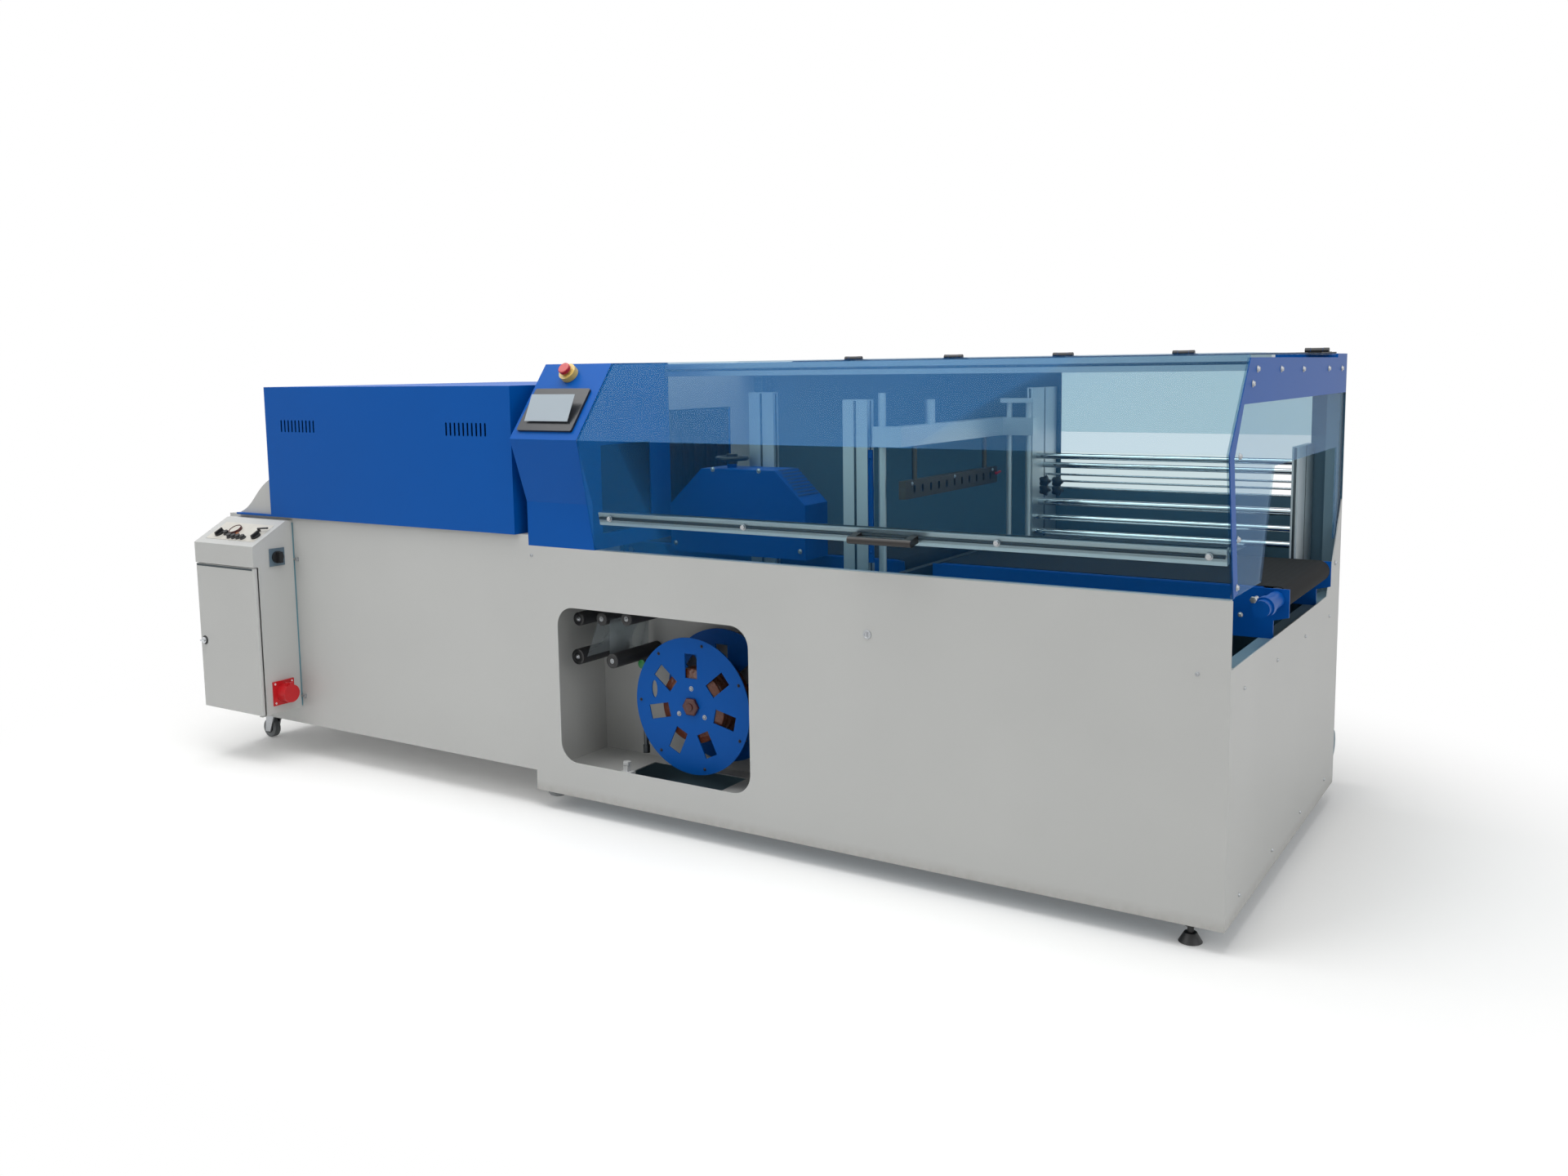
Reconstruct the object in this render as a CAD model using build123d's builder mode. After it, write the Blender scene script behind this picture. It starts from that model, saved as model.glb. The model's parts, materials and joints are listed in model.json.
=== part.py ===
from build123d import *
from math import hypot, sqrt
import os

# Side sealing machine with its shrink tunnel, in millimetres.
# +X runs from the tunnel's exit to the sealer's infeed, -Y is the operator's side, +Z is up.
# The origin is on the floor, under the middle of the whole machine.

# Cabinet of the sealer
sealer_length = 2242
sealer_depth = 1369
sealer_base = 60
front_over_belt = 37
end_under_belt = 130
rear_over_belt = 157
sheet = 3
tube = 40
right_rail_drop = 140
left_rail_drop = 65
mid_post = 1250
panel_fold = 30
passage_margin = 15
rear_window = (950, 100)
upstand_run = (201, 104, 8)
upstand_step = 135
bridge_left = 1160
bridge_right = 930
bridge_thickness = 10
guide_inset = 60
guide_radius = 9
beam_joint = 2
beam_front = 1215
beam_thickness = 12

# Hood door, measured from the front face
door_seat = 3
kink_reach = 68
kink_rise = 346
brow_rise = 234
door_brow = 111
door_rear = 1190
door_sheet = 5
door_gap = 0.5
rail_height = 40
rail_thickness = 20
rail_start = 82
upper_rail_y = 380
hinge_y = 1205
hinge_rise = 10
hinge_width = 70
hinge_pitch = 412
hinge_count = 5
hinge_first = 60
hinge_radius = 8
hinge_leaf = 55
hinge_leaf_thickness = 5
hinge_foot = 35
hinge_foot_thickness = 6
pin_radius = 4
pin_clearance = 0.05
handle_middle = 914
handle_length = 193
handle_reach = 38
handle_radius = 11
handle_post = 22
handle_post_height = 20
rail_inset = 37
rail_end_gap = 4

# End shield at the infeed
shield_thickness = 5
shield_gap = 6
trim_thickness = 3
trim_width = 40
trim_band = 110
opening_over_belt = 329
opening_front = 408
opening_rear = 1259
opening_knee = (340, 152)
opening_foot = 295
band_corner = 60

# Console
console_width = 278
console_depth = 400
console_knee_rise = 143
screen_width = 228
screen_height = 162
screen_bezel = 8
screen_body = 40
screen_along = 110
screen_offset = 6
screen_round = 6
screen_cutout = (40, 30)
screen_play = 4
console_window = ((45, 295), (48, 328))
stop_along = 250
stop_from_left = 128
collar_radius = 30
collar_height = 20
button_radius = 20
button_height = 14
button_travel = 5
stem_radius = 9
button_round = 3
button_rest = 1
stem_depth = 18

# Conveyors
belt_front = 490
belt_width = 550
belt_top = 840
belt_thickness = 2
roller_radius = 30
running_gap = 0.3
side_gap = 8
side_plate = 6
bed_thickness = 10
shaft_radius = 10
bearing_radius = 22
bearing_flange = 5
bearing_cap = 4
bearing_ring = (30, 60)
bearing_gap = 10
roller_play = 1
shaft_end = 4
plate_drop = 4
foot_rise = (40, 50)
belt_overhang = 2
bed_gap = 6
infeed_reach = 30
exit_reach = 20
transfer_gap = 6
jaw_line = 1070
jaw_room = 50
tunnel_bar_drop = 80

# Side sealing unit
housing_front = 300
housing_left = 1890
housing_right = 1370
housing_over_belt = 5
housing_height = 275
housing_shoulders = (155, 171)
housing_slopes = (130, 110)
seal_post_x = 1617
seal_post_width = 95
seal_post_front = 436
seal_post_depth = 30
seal_post_drop = 100
wheel_x = 1690
wheel_y = 372
wheel_radius = 55
wheel_rim = 7
wheel_rise = 30
wheel_hub = 18
wheel_hub_rise = 14
wheel_shaft = 8
wheel_boss = 16
wheel_boss_height = 12
spoke_width = 8
spoke_height = 6

# Cross sealing unit
jaw_thickness = 24
jaw_front = 373
jaw_rear = 1050
jaw_over_belt = 200
jaw_height = 55
jaw_slots = 11
beam_over_jaw = 160
beam_height = 60
beam_width = 40
lower_jaw_drop = 20
lower_jaw_height = 60
upper_travel = 190
lower_travel = 29
front_column = (1125, 350)
rear_columns = ((1035, 1100), (965, 1100))
front_column_radius = 12
rear_column_radius = 10
column_post_x = (1250, 1165)
column_post_y = (330, 370)
column_post_drop = 120
column_rise = 20
column_foot = 30
column_foot_height = 15
column_margin = 25
arm_half = 22
rear_column_rise = 125
cylinder_y = 560
cylinder_radius = 16
cylinder_height = 75
slot_size = (26, 14)
hanger_inset = 80
hanger_radius = 8
pin_depth = 30

# Film rods behind the infeed
rod_plate_left = 965
rod_plate_right = 110
rod_plate_thickness = 20
rod_plate_front = 1135
rod_plate_over_belt = 335
rod_column_drop = 100
rear_shield_thickness = 6
rear_shield_gap = 25

# Scrap winder
bay_left = 2196
bay_right = 1300
bay_depth = 300
bay_over_base = 72
bay_under_rail = 12
window_sides = (67, 86)
window_sill = 43
window_head = 38
window_corner = 65
reel_x = 1668
reel_rise = 259
reel_radius = 218
reel_front = 95
reel_gap = 167
flange_thickness = 4
reel_core = 45
reel_slots = 7
reel_slot_ring = 128
reel_slot_size = (78, 46)
reel_thread_hole = (145, 40)
reel_thread_size = (11, 28)
reel_shaft = 12
reel_boss = 30
shaft_short = 2
boss_depth = 30
bay_cut = ((1935, 1565), (50, 245))
guide_front = 70
arm_x = 1905
arm_rise = 358
arm_y = 150
arm_length = 285
arm_shaft = 8
arm_boss = 20
arm_hub = 14
arm_hub_length = 22
arm_weight = 11
arm_weight_reach = (12, 14)

# Film cradle behind the sealer
cradle_reach = 206
cradle_left = 985
cradle_right = 30
cradle_plate = 15
cradle_bottom = 96
cradle_top = 192
cradle_roller_radius = 22
cradle_front_roller = 48
cradle_pitch = 110
cradle_shaft = 8
film_radius = 100
film_length = 600
film_core = 38
core_wall = 4
core_overhang = 12

# Shrink tunnel
tunnel_length = 1558
tunnel_depth = 1270
tunnel_base_bottom = 126
deck_over_belt = 71
housing_start = 43
tunnel_housing_length = 1243
housing_overhang = 17
roof_over_duct = 103
tunnel_sheet = 2
duct_front = 440
duct_rear = 1170
duct_height = 450
deck_flange = 6
exit_bed_length = 207
guard_height = 139
curtain_strips = 8
curtain_inset = 12
curtain_slit = 3
curtain_gap = 6
guard_inset = 9
guard_lip = 3
guard_margin = 6
guard_bulge = (12, 16)
guard_slopes = (0.35, 0.3)
bar_inset = 100
fan_radius = 120
fan_shaft = 8
fan_gap = 6
fan_disc = 3
blade_count = 12
blade_ring = 86
blade_size = (48, 3, 22)
blade_rise = 14
motor_width = 110
motor_height = 34
motor_cap = 4
vent_xs = (3348, 2490)
vent_drop = 143
vent_pitch = 20
vent_slots = 10
vent_height = 45
vent_width = 8

# Electric box
box_left = 3775
box_width = 345
box_depth = 155
box_bottom = 190
box_top = 900
box_wall = 3
box_door_top = 740
box_brow = 20
box_brow_top = 820
box_ridge = 30
box_door_thickness = 18
lock_radius = 12
lock_reach = 15
lock_z = 447
switch_y = 78
switch_z = 772
socket_y = 82
socket_z = 265
socket_radius = 32
knob_radius = 18
knob_places = (84, 298)
knob_along = 60
knob_skirt = 7
knob_grip = (7, 34, 10)
knob_shaft = 3
knob_shaft_length = 8
switch_plate = 64
switch_plate_thickness = 4
switch_shaft = 4
switch_disc = (22, 12)
switch_grip = (16, 14, 40)
box_door_margin = 2
pivot_radius = 4
pivot_depth = 12
pivot_lug = 20
lock_inset = 26
lock_shaft = 8
lock_grip = (8, 6)
lock_nut = 6
socket_length = 46
socket_flange = 90
socket_flange_thickness = 6
socket_wall = 5
socket_floor = 10
ear_inner = 9
ear_outer = 15
ear_reach = 12
ear_rise = (6, 10)
lid_pin = 2
lid_pin_place = (4, 5)
lid_thickness = 6
lid_arm = 17
lid_knuckle = 4
lid_rim = 1

# Supports
caster_wheel_radius = 37.5
caster_trail = 25
caster_inset = (50, 110)
foot_radius = 30
foot_stem = 8
foot_pad = 24
foot_plate = 6
foot_nut = 12
foot_plate_size = (90, 70)
foot_inset = (95, 50)
left_foot_inset = (50, 260)
caster_wheel_width = 26
caster_round = 4
caster_axle = 6
king_pin_radius = 6
caster_plate = 80
caster_plate_thickness = 14
caster_disc = 30
caster_disc_height = 12
caster_boss = 21
caster_leg = (16, 21)
caster_leg_top = (28, 24)
caster_leg_foot = 14
caster_leg_end = 12

# Heights that follow from the belt's height
front_height = belt_top + front_over_belt
end_height = belt_top - end_under_belt
rear_height = belt_top + rear_over_belt
right_rail_top = belt_top - right_rail_drop
left_rail_top = belt_top - left_rail_drop
tunnel_bar_top = belt_top - tunnel_bar_drop
door_bottom = front_height + door_seat
door_kink = (-kink_reach, door_bottom + kink_rise)
hood_top = door_kink[1] + brow_rise
hinge_z = hood_top + hinge_rise
opening_top = belt_top + opening_over_belt
console_knee = front_height + console_knee_rise
housing_bottom = belt_top + housing_over_belt
housing_top = housing_bottom + housing_height
seal_post_top = hood_top - seal_post_drop
jaw_bottom = belt_top + jaw_over_belt
beam_bottom = jaw_bottom + beam_over_jaw
lower_jaw_top = belt_top - lower_jaw_drop
column_post_top = hood_top - column_post_drop
rod_plate_top = belt_top + rod_plate_over_belt
rod_column_top = hood_top - rod_column_drop
tunnel_base_top = belt_top + deck_over_belt
duct_top = belt_top + duct_height
tunnel_housing_top = duct_top + roof_over_duct
vent_z = tunnel_housing_top - vent_drop
bay_bottom = sealer_base + bay_over_base
bay_top = left_rail_top - tube - bay_under_rail
window_left = bay_left - window_sides[0]
window_right = bay_right + window_sides[1]
window_bottom = bay_bottom + window_sill
window_top = bay_top - window_head
reel_z = bay_bottom + reel_rise
arm_z = bay_bottom + arm_rise

# Places that follow from the sizes
front_reach = box_depth + running_gap + box_door_thickness + lock_reach
total_length = exit_reach + tunnel_length + sealer_length + infeed_reach
total_depth = front_reach + sealer_depth + cradle_reach
right = total_length / 2 - infeed_reach
left = right - sealer_length
exit_end = left - tunnel_length
front = front_reach - total_depth / 2
back = front + sealer_depth
beam_underside = hood_top - beam_thickness
frame_left = left + sheet
frame_right = right - trim_thickness - shield_thickness
frame_front = front + sheet
frame_back = back - sheet
belt_near = front + belt_front
belt_far = belt_near + belt_width
roller_z = belt_top - belt_thickness - roller_radius
plate_near = belt_near - side_gap
plate_far = belt_far + side_gap
console_right = left + console_width
jaw_x = right - jaw_line
box_right = right - box_left + box_width


def block(x, y, z, mode=Mode.ADD):
    """A box between two limits along each axis."""
    with Locations(((x[0] + x[1]) / 2, (y[0] + y[1]) / 2, (z[0] + z[1]) / 2)):
        Box(x[1] - x[0], y[1] - y[0], z[1] - z[0], mode=mode)


def bar_x(x, y, z, radius, mode=Mode.ADD):
    """A round bar along X between two limits."""
    with Locations(Location(((x[0] + x[1]) / 2, y, z), (0, 90, 0))):
        Cylinder(radius, x[1] - x[0], mode=mode)


def bar_y(x, y, z, radius, mode=Mode.ADD):
    """A round bar along Y between two limits."""
    with Locations(Location((x, (y[0] + y[1]) / 2, z), (90, 0, 0))):
        Cylinder(radius, y[1] - y[0], mode=mode)


def bar_z(x, y, z, radius, mode=Mode.ADD):
    """A round bar along Z between two limits."""
    with Locations((x, y, (z[0] + z[1]) / 2)):
        Cylinder(radius, z[1] - z[0], mode=mode)


def slab_x(points, x, mode=Mode.ADD):
    """An outline of (y, z) points, as thick as the limits along X."""
    with BuildSketch(Plane.YZ.offset(x[0])) as outline:
        with BuildLine():
            Polyline(*points, close=True)
        make_face()
    extrude(outline.sketch, amount=x[1] - x[0], mode=mode)


def slab_y(points, y, mode=Mode.ADD):
    """An outline of (x, z) points, as thick as the limits along Y."""
    with BuildSketch(Plane.XZ.offset(-y[1])) as outline:
        with BuildLine():
            Polyline(*points, close=True)
        make_face()
    extrude(outline.sketch, amount=y[1] - y[0], mode=mode)


def inset(path, distance):
    """An open path of points moved to its right hand side by a distance."""
    normals = []
    for start, end in zip(path, path[1:]):
        length = hypot(end[0] - start[0], end[1] - start[1])
        normals.append(((end[1] - start[1]) / length, (start[0] - end[0]) / length))
    moved = []
    for index, point in enumerate(path):
        before = normals[max(index - 1, 0)]
        after = normals[min(index, len(normals) - 1)]
        scale = distance / (1 + before[0] * after[0] + before[1] * after[1])
        moved.append((point[0] + scale * (before[0] + after[0]), point[1] + scale * (before[1] + after[1])))
    return moved


# Outline of the hood's door, from its bottom edge up and back to the hinge
door_path = [
    (front, door_bottom),
    (front + door_kink[0], door_kink[1]),
    (front + door_brow, hood_top),
    (front + door_rear, hood_top),
]
skirt_length = hypot(kink_reach, kink_rise)
skirt_up = (-kink_reach / skirt_length, kink_rise / skirt_length)
skirt_in = (skirt_up[1], -skirt_up[0])


def on_skirt(along, depth):
    """A (y, z) point on the hood's lower sheet: up along it, and in from its outer face."""
    y = front + along * skirt_up[0] + depth * skirt_in[0]
    z = door_bottom + along * skirt_up[1] + depth * skirt_in[1]
    return (y, z)


# The console's tilted face, which carries the screen and the emergency stop
face_run = door_brow - door_kink[0]
face_length = hypot(face_run, brow_rise)
face_up = (face_run / face_length, brow_rise / face_length)


def console_plane(from_left, along):
    """A plane on the console's tilted face, with its normal pointing at the operator."""
    y = front + door_kink[0] + along * face_up[0]
    z = door_kink[1] + along * face_up[1]
    return Plane(origin=(left + from_left, y, z), x_dir=(1, 0, 0), z_dir=(0, -face_up[1], face_up[0]))


# Frame of the sealer: two welded modules, with a low one under the infeed
post_xs = (frame_left, right - mid_post, frame_right - tube)
seal_rail = seal_post_front + seal_post_depth / 2 - tube / 2
bridge = (right - bridge_left, right - bridge_right)
with BuildPart() as sealer_frame:
    block((frame_left, frame_right), (frame_front, frame_back), (sealer_base, sealer_base + tube))
    block(
        (frame_left + tube, frame_right - tube),
        (frame_front + tube, frame_back - tube),
        (sealer_base + sheet, sealer_base + tube),
        Mode.SUBTRACT,
    )
    for y in (frame_front, frame_back - tube):
        for x in post_xs:
            top = left_rail_top if x < frame_right - tube else right_rail_top
            block((x, x + tube), (y, y + tube), (sealer_base, top))
        block((frame_left, post_xs[1] + tube), (y, y + tube), (left_rail_top - tube, left_rail_top))
        block((post_xs[1], frame_right), (y, y + tube), (right_rail_top - tube, right_rail_top))
    for x in (post_xs[0], post_xs[2]):
        block((x, x + tube), (frame_back - tube, frame_back), (right_rail_top - tube, beam_underside))
    for x in post_xs[:2]:
        block((x, x + tube), (frame_front, frame_back), (left_rail_top - tube, left_rail_top))
    block((post_xs[2], frame_right), (frame_front, frame_back), (right_rail_top - tube, right_rail_top))
    block(
        (frame_left, post_xs[1] + tube),
        (front + seal_rail, front + seal_rail + tube),
        (left_rail_top - tube, left_rail_top),
    )
    block(bridge, (frame_front, frame_back), (right_rail_top - bridge_thickness, right_rail_top))
    for y in (jaw_front + guide_inset, jaw_rear - guide_inset):
        bore = (right_rail_top - bridge_thickness, right_rail_top)
        bar_z(jaw_x, front + y, bore, guide_radius + pin_clearance, Mode.SUBTRACT)

# Front panel with the winder's window and a folded top edge
with BuildPart() as sealer_front_panel:
    block((left, right), (front, frame_front), (sealer_base, front_height))
    fold = (front_height - sheet, front_height)
    block((left, frame_right), (frame_front, front + panel_fold), fold)
    with BuildSketch(Plane.XZ.offset(-frame_front)):
        with Locations((right - (window_left + window_right) / 2, (window_bottom + window_top) / 2)):
            RectangleRounded(window_left - window_right, window_top - window_bottom, window_corner)
    extrude(amount=sheet, mode=Mode.SUBTRACT)

# End panel with the upstand at its rear
with BuildPart() as sealer_end_panel:
    slab_x(
        [
            (frame_front, sealer_base),
            (frame_front, end_height),
            (back - upstand_run[0], end_height),
            (back - upstand_run[1], end_height + upstand_step),
            (back - upstand_run[2], rear_height),
            (frame_back, rear_height),
            (frame_back, sealer_base),
        ],
        (right - sheet, right),
    )
    for y in ((frame_front, frame_front + panel_fold), (frame_back - panel_fold, frame_back)):
        block((frame_right, right - sheet), y, (sealer_base, end_height))
    fold = (right_rail_top - panel_fold, right_rail_top)
    block((frame_right, right - sheet), (frame_front, frame_back), fold)

# Rear panel, which stays low behind the infeed so that film can come in
with BuildPart() as sealer_rear_panel:
    slab_y(
        [
            (left, sealer_base),
            (right, sealer_base),
            (right, beam_underside),
            (right - rear_window[1], beam_underside),
            (right - rear_window[1], rear_height),
            (right - rear_window[0], rear_height),
            (right - rear_window[0], beam_underside),
            (left, beam_underside),
        ],
        (frame_back, back),
    )

# Side plate at the outfeed, with the way through to the tunnel
with BuildPart() as outfeed_side_plate:
    slab_x(
        [
            (frame_front, sealer_base),
            (frame_front, front_height - sheet),
            (front + console_depth, front_height - sheet),
            (front + console_depth, beam_underside),
            (frame_back, beam_underside),
            (frame_back, sealer_base),
        ],
        (left, frame_left),
    )
    block(
        (left, frame_left),
        (front + duct_front + passage_margin, front + duct_rear - passage_margin),
        (tunnel_bar_top, duct_top),
        Mode.SUBTRACT,
    )

# Bay of the scrap winder: a folded tray behind the window
roller_places = ((2105, 377, 26), (1960, 378, 24), (2097, 503, 22), (2000, 512, 22), (1897, 521, 22))
bay_back = front + bay_depth
with BuildPart() as winder_bay:
    block((right - bay_left, right - bay_right), (frame_front, bay_back + sheet), (bay_bottom, bay_top))
    block(
        (right - bay_left + sheet, right - bay_right - sheet),
        (frame_front, bay_back),
        (bay_bottom + sheet, bay_top - sheet),
        Mode.SUBTRACT,
    )
    block(
        (right - bay_cut[0][0], right - bay_cut[0][1]),
        (front + bay_cut[1][0], front + bay_cut[1][1]),
        (bay_bottom, bay_bottom + sheet),
        Mode.SUBTRACT,
    )
    for x, z, boss, shaft in ((reel_x, reel_z, reel_boss, reel_shaft), (arm_x, arm_z, arm_boss, arm_shaft)):
        bar_y(right - x, (bay_back, bay_back + boss_depth), z, boss)
        bar_y(right - x, (bay_back, bay_back + boss_depth), z, shaft + pin_clearance, Mode.SUBTRACT)

# Guide rollers of the scrap film, held at the bay's back wall
with BuildPart() as guide_rollers:
    for x, rise, radius in roller_places:
        bar_y(right - x, (front + guide_front, bay_back), bay_bottom + rise, radius)

# Scrap reel: two slotted discs on a core with its shaft
reel_rear = reel_front + reel_gap
shaft_rear = bay_back + boss_depth - shaft_short
with BuildPart() as scrap_reel:
    bar_y(right - reel_x, (front + reel_front - reel_shaft, shaft_rear), reel_z, reel_shaft)
    bar_y(right - reel_x, (front + reel_front, front + reel_rear + flange_thickness), reel_z, reel_core)
    for y in (reel_front, reel_rear):
        bar_y(right - reel_x, (front + y, front + y + flange_thickness), reel_z, reel_radius)
        with BuildSketch(Plane.XZ.offset(-(front + y + flange_thickness))):
            with Locations((right - reel_x, reel_z)):
                with PolarLocations(reel_slot_ring, reel_slots, start_angle=90):
                    Rectangle(*reel_slot_size)
            with Locations((right - reel_x - reel_thread_hole[0], reel_z + reel_thread_hole[1])):
                Ellipse(*reel_thread_size)
        extrude(amount=flange_thickness, mode=Mode.SUBTRACT)

# Dancer arm that keeps the scrap film tight
with BuildPart() as dancer_arm:
    arm_middle = front + arm_y + arm_hub_length / 2
    arm_low = arm_z - arm_length
    weight = (arm_low - arm_weight_reach[0], arm_low + arm_weight_reach[1])
    bar_y(right - arm_x, (front + arm_y, shaft_rear), arm_z, arm_shaft)
    bar_y(right - arm_x, (front + arm_y, front + arm_y + arm_hub_length), arm_z, arm_hub)
    bar_z(right - arm_x, arm_middle, (arm_low, arm_z), arm_shaft)
    bar_z(right - arm_x, arm_middle, weight, arm_weight)

# Console: a folded housing at the left end of the hood
console_outline = [
    (front, front_height),
    (front, console_knee),
    (front + door_kink[0], door_kink[1]),
    (front + door_brow, hood_top),
    (front + console_depth, hood_top),
    (front + console_depth, front_height),
]
console_inside = (
    [(front, front_height - sheet)]
    + console_outline[1:-1]
    + [(front + console_depth, front_height - sheet)]
)
screen_plane = console_plane(console_width / 2 - screen_offset, screen_along)
screen_opening = (screen_width - screen_cutout[0], screen_height - screen_cutout[1])
stop_plane = console_plane(stop_from_left, stop_along)
with BuildPart() as console_housing:
    slab_x(console_outline, (left, console_right))
    slab_x(inset(console_inside, sheet), (left + sheet, console_right - sheet), Mode.SUBTRACT)
    block(
        (console_right - sheet, console_right),
        (front + console_window[0][0], front + console_window[0][1]),
        (front_height + console_window[1][0], front_height + console_window[1][1]),
        Mode.SUBTRACT,
    )
    with BuildSketch(screen_plane):
        Rectangle(*screen_opening)
    extrude(amount=-2 * sheet, mode=Mode.SUBTRACT)

# Touch panel: a bezel on the console's face and its body behind
with BuildPart() as touch_panel:
    with BuildSketch(screen_plane):
        RectangleRounded(screen_width, screen_height, screen_round)
    extrude(amount=screen_bezel)
    with BuildSketch(screen_plane):
        Rectangle(screen_opening[0] - screen_play, screen_opening[1] - screen_play)
    extrude(amount=-screen_body)

# Emergency stop: a round collar and the mushroom button that is pressed into it
with BuildPart() as stop_collar:
    with BuildSketch(stop_plane):
        Circle(collar_radius)
        Circle(stem_radius + pin_clearance, mode=Mode.SUBTRACT)
    extrude(amount=collar_height)

with BuildPart() as stop_button:
    head = stop_plane.offset(collar_height + button_travel + button_rest)
    with BuildSketch(head):
        Circle(button_radius)
    extrude(amount=button_height)
    fillet(stop_button.edges().filter_by(GeomType.CIRCLE), radius=button_round)
    with BuildSketch(head):
        Circle(stem_radius)
    extrude(amount=-stem_depth)

# Beam across the hood's rear, with the fixed hinge ears and pins
hinge_xs = [right - hinge_first - index * hinge_pitch for index in range(hinge_count)]
hinge_axis = front + hinge_y
with BuildPart() as hood_beam:
    block((left, right), (front + beam_front, back), (beam_underside, hood_top))
    for x in hinge_xs:
        for side in (-1, 1):
            ear = sorted((x + side * (hinge_width / 4 + running_gap), x + side * hinge_width / 2))
            foot = (hinge_axis, front + beam_front + hinge_foot)
            block(ear, foot, (hood_top, hood_top + hinge_foot_thickness))
            bar_x(ear, hinge_axis, hinge_z, hinge_radius)
        bar_x((x - hinge_width / 2, x + hinge_width / 2), hinge_axis, hinge_z, pin_radius)

# Hinge leaves on the door, each with the middle knuckle
with BuildPart() as door_hinges:
    for x in hinge_xs:
        knuckle = (x - hinge_width / 4, x + hinge_width / 4)
        leaf = (hinge_axis - hinge_leaf, hinge_axis)
        block(knuckle, leaf, (hood_top, hood_top + hinge_leaf_thickness))
        bar_x(knuckle, hinge_axis, hinge_z, hinge_radius)
        bar_x(knuckle, hinge_axis, hinge_z, pin_radius + pin_clearance, Mode.SUBTRACT)

# Hood door: one bent clear sheet from the front panel up and back to the hinge
door_left = console_right + door_gap
with BuildPart() as door_shield:
    slab_x(door_path + inset(door_path, door_sheet)[::-1], (door_left, right))

# Two profile rails that stiffen the door
rail_right = right - trim_thickness - shield_thickness - rail_end_gap
with BuildPart() as door_rails:
    slab_x(
        [
            on_skirt(rail_start, door_sheet),
            on_skirt(rail_start + rail_height, door_sheet),
            on_skirt(rail_start + rail_height, door_sheet + rail_thickness),
            on_skirt(rail_start, door_sheet + rail_thickness),
        ],
        (door_left + rail_inset, rail_right),
    )
    block(
        (door_left + rail_end_gap, rail_right),
        (front + upper_rail_y, front + upper_rail_y + rail_height),
        (hood_top - door_sheet - rail_height, hood_top - door_sheet),
    )

# Bow handle on the outside of the door
grip = on_skirt(rail_start + rail_height / 2, -handle_reach)
post_low = rail_start + (rail_height - handle_post_height) / 2
handle_left = right - handle_middle - handle_length / 2
with BuildPart() as door_handle:
    for x in (handle_left, handle_left + handle_length - handle_post):
        slab_x(
            [
                on_skirt(post_low, 0),
                on_skirt(post_low + handle_post_height, 0),
                on_skirt(post_low + handle_post_height, -handle_reach),
                on_skirt(post_low, -handle_reach),
            ],
            (x, x + handle_post),
        )
    bar_x((handle_left, handle_left + handle_length), grip[0], grip[1], handle_radius)

# Clear end shield over the infeed, with the opening for the product
shield_path = inset(door_path[:3] + [(back, hood_top)], shield_gap)
shield_outline = [
    (front + opening_foot, shield_path[0][1]),
    shield_path[0],
    shield_path[1],
    (front + door_brow + beam_joint, beam_underside),
    (frame_back, beam_underside),
    (frame_back, shield_path[0][1]),
    (front + opening_rear, shield_path[0][1]),
    (front + opening_rear, opening_top),
    (front + opening_front, opening_top),
    (front + opening_knee[0], belt_top + opening_knee[1]),
]
shield_out = right - trim_thickness
with BuildPart() as end_shield:
    slab_x(shield_outline, (shield_out - shield_thickness, shield_out))

# Painted trim that holds the end shield along its front and top
trim_path = inset(door_path[:3] + [(back, hood_top)], shield_gap + trim_width)
with BuildPart() as end_shield_trim:
    slab_x(
        [
            shield_path[0],
            shield_path[1],
            (front + door_brow + beam_joint, beam_underside),
            (frame_back, beam_underside),
            (frame_back, beam_underside - trim_band),
            (front + band_corner, beam_underside - trim_band),
            trim_path[1],
            trim_path[0],
        ],
        (shield_out, right),
    )

# Clear shield above the film's way in at the rear
with BuildPart() as rear_shield:
    block(
        (right - rear_window[0], frame_right - tube),
        (frame_back - rear_shield_thickness, frame_back),
        (rod_plate_top + rear_shield_gap, beam_underside),
    )


def conveyor_belt(low, high):
    """An endless belt between two outermost places along X."""
    middle = (low + high) / 2
    reach = high - low - 2 * (roller_radius + belt_thickness)
    with BuildPart() as belt:
        with BuildSketch(Plane.XZ.offset(-belt_far)):
            with Locations((middle, roller_z)):
                SlotCenterToCenter(reach, 2 * (roller_radius + belt_thickness))
                SlotCenterToCenter(reach, 2 * roller_radius, mode=Mode.SUBTRACT)
        extrude(amount=belt_width)
    return belt


def conveyor_frame(low, high, drive, outline, bearing_front=None):
    """Side plates, bed and fixed nose bar of a conveyor; drive is the end with the roller."""
    axle = roller_radius + belt_thickness
    drive_x = high - axle if drive > 0 else low + axle
    nose_x = low + axle if drive > 0 else high - axle
    bed = sorted((nose_x, drive_x - drive * (roller_radius + bed_gap)))
    bed_top = belt_top - belt_thickness
    with BuildPart() as frame:
        for y in (plate_near - side_plate, plate_far):
            slab_y(outline, (y, y + side_plate))
        block(bed, (plate_near, plate_far), (bed_top - bed_thickness, bed_top))
        bar_y(nose_x, (plate_near, plate_far), roller_z, roller_radius - running_gap)
        bore_front = plate_near - side_plate
        if bearing_front is not None:
            ring = (bearing_front + bearing_ring[0], bearing_front + bearing_ring[1])
            bar_y(drive_x, (bearing_front, plate_near - side_plate), roller_z, bearing_radius)
            bar_y(drive_x, ring, roller_z, bearing_radius + bearing_flange)
            bore_front = bearing_front + bearing_cap
        bore = (bore_front, plate_far + side_plate)
        bar_y(drive_x, bore, roller_z, shaft_radius + pin_clearance, Mode.SUBTRACT)
    return frame, drive_x


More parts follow.
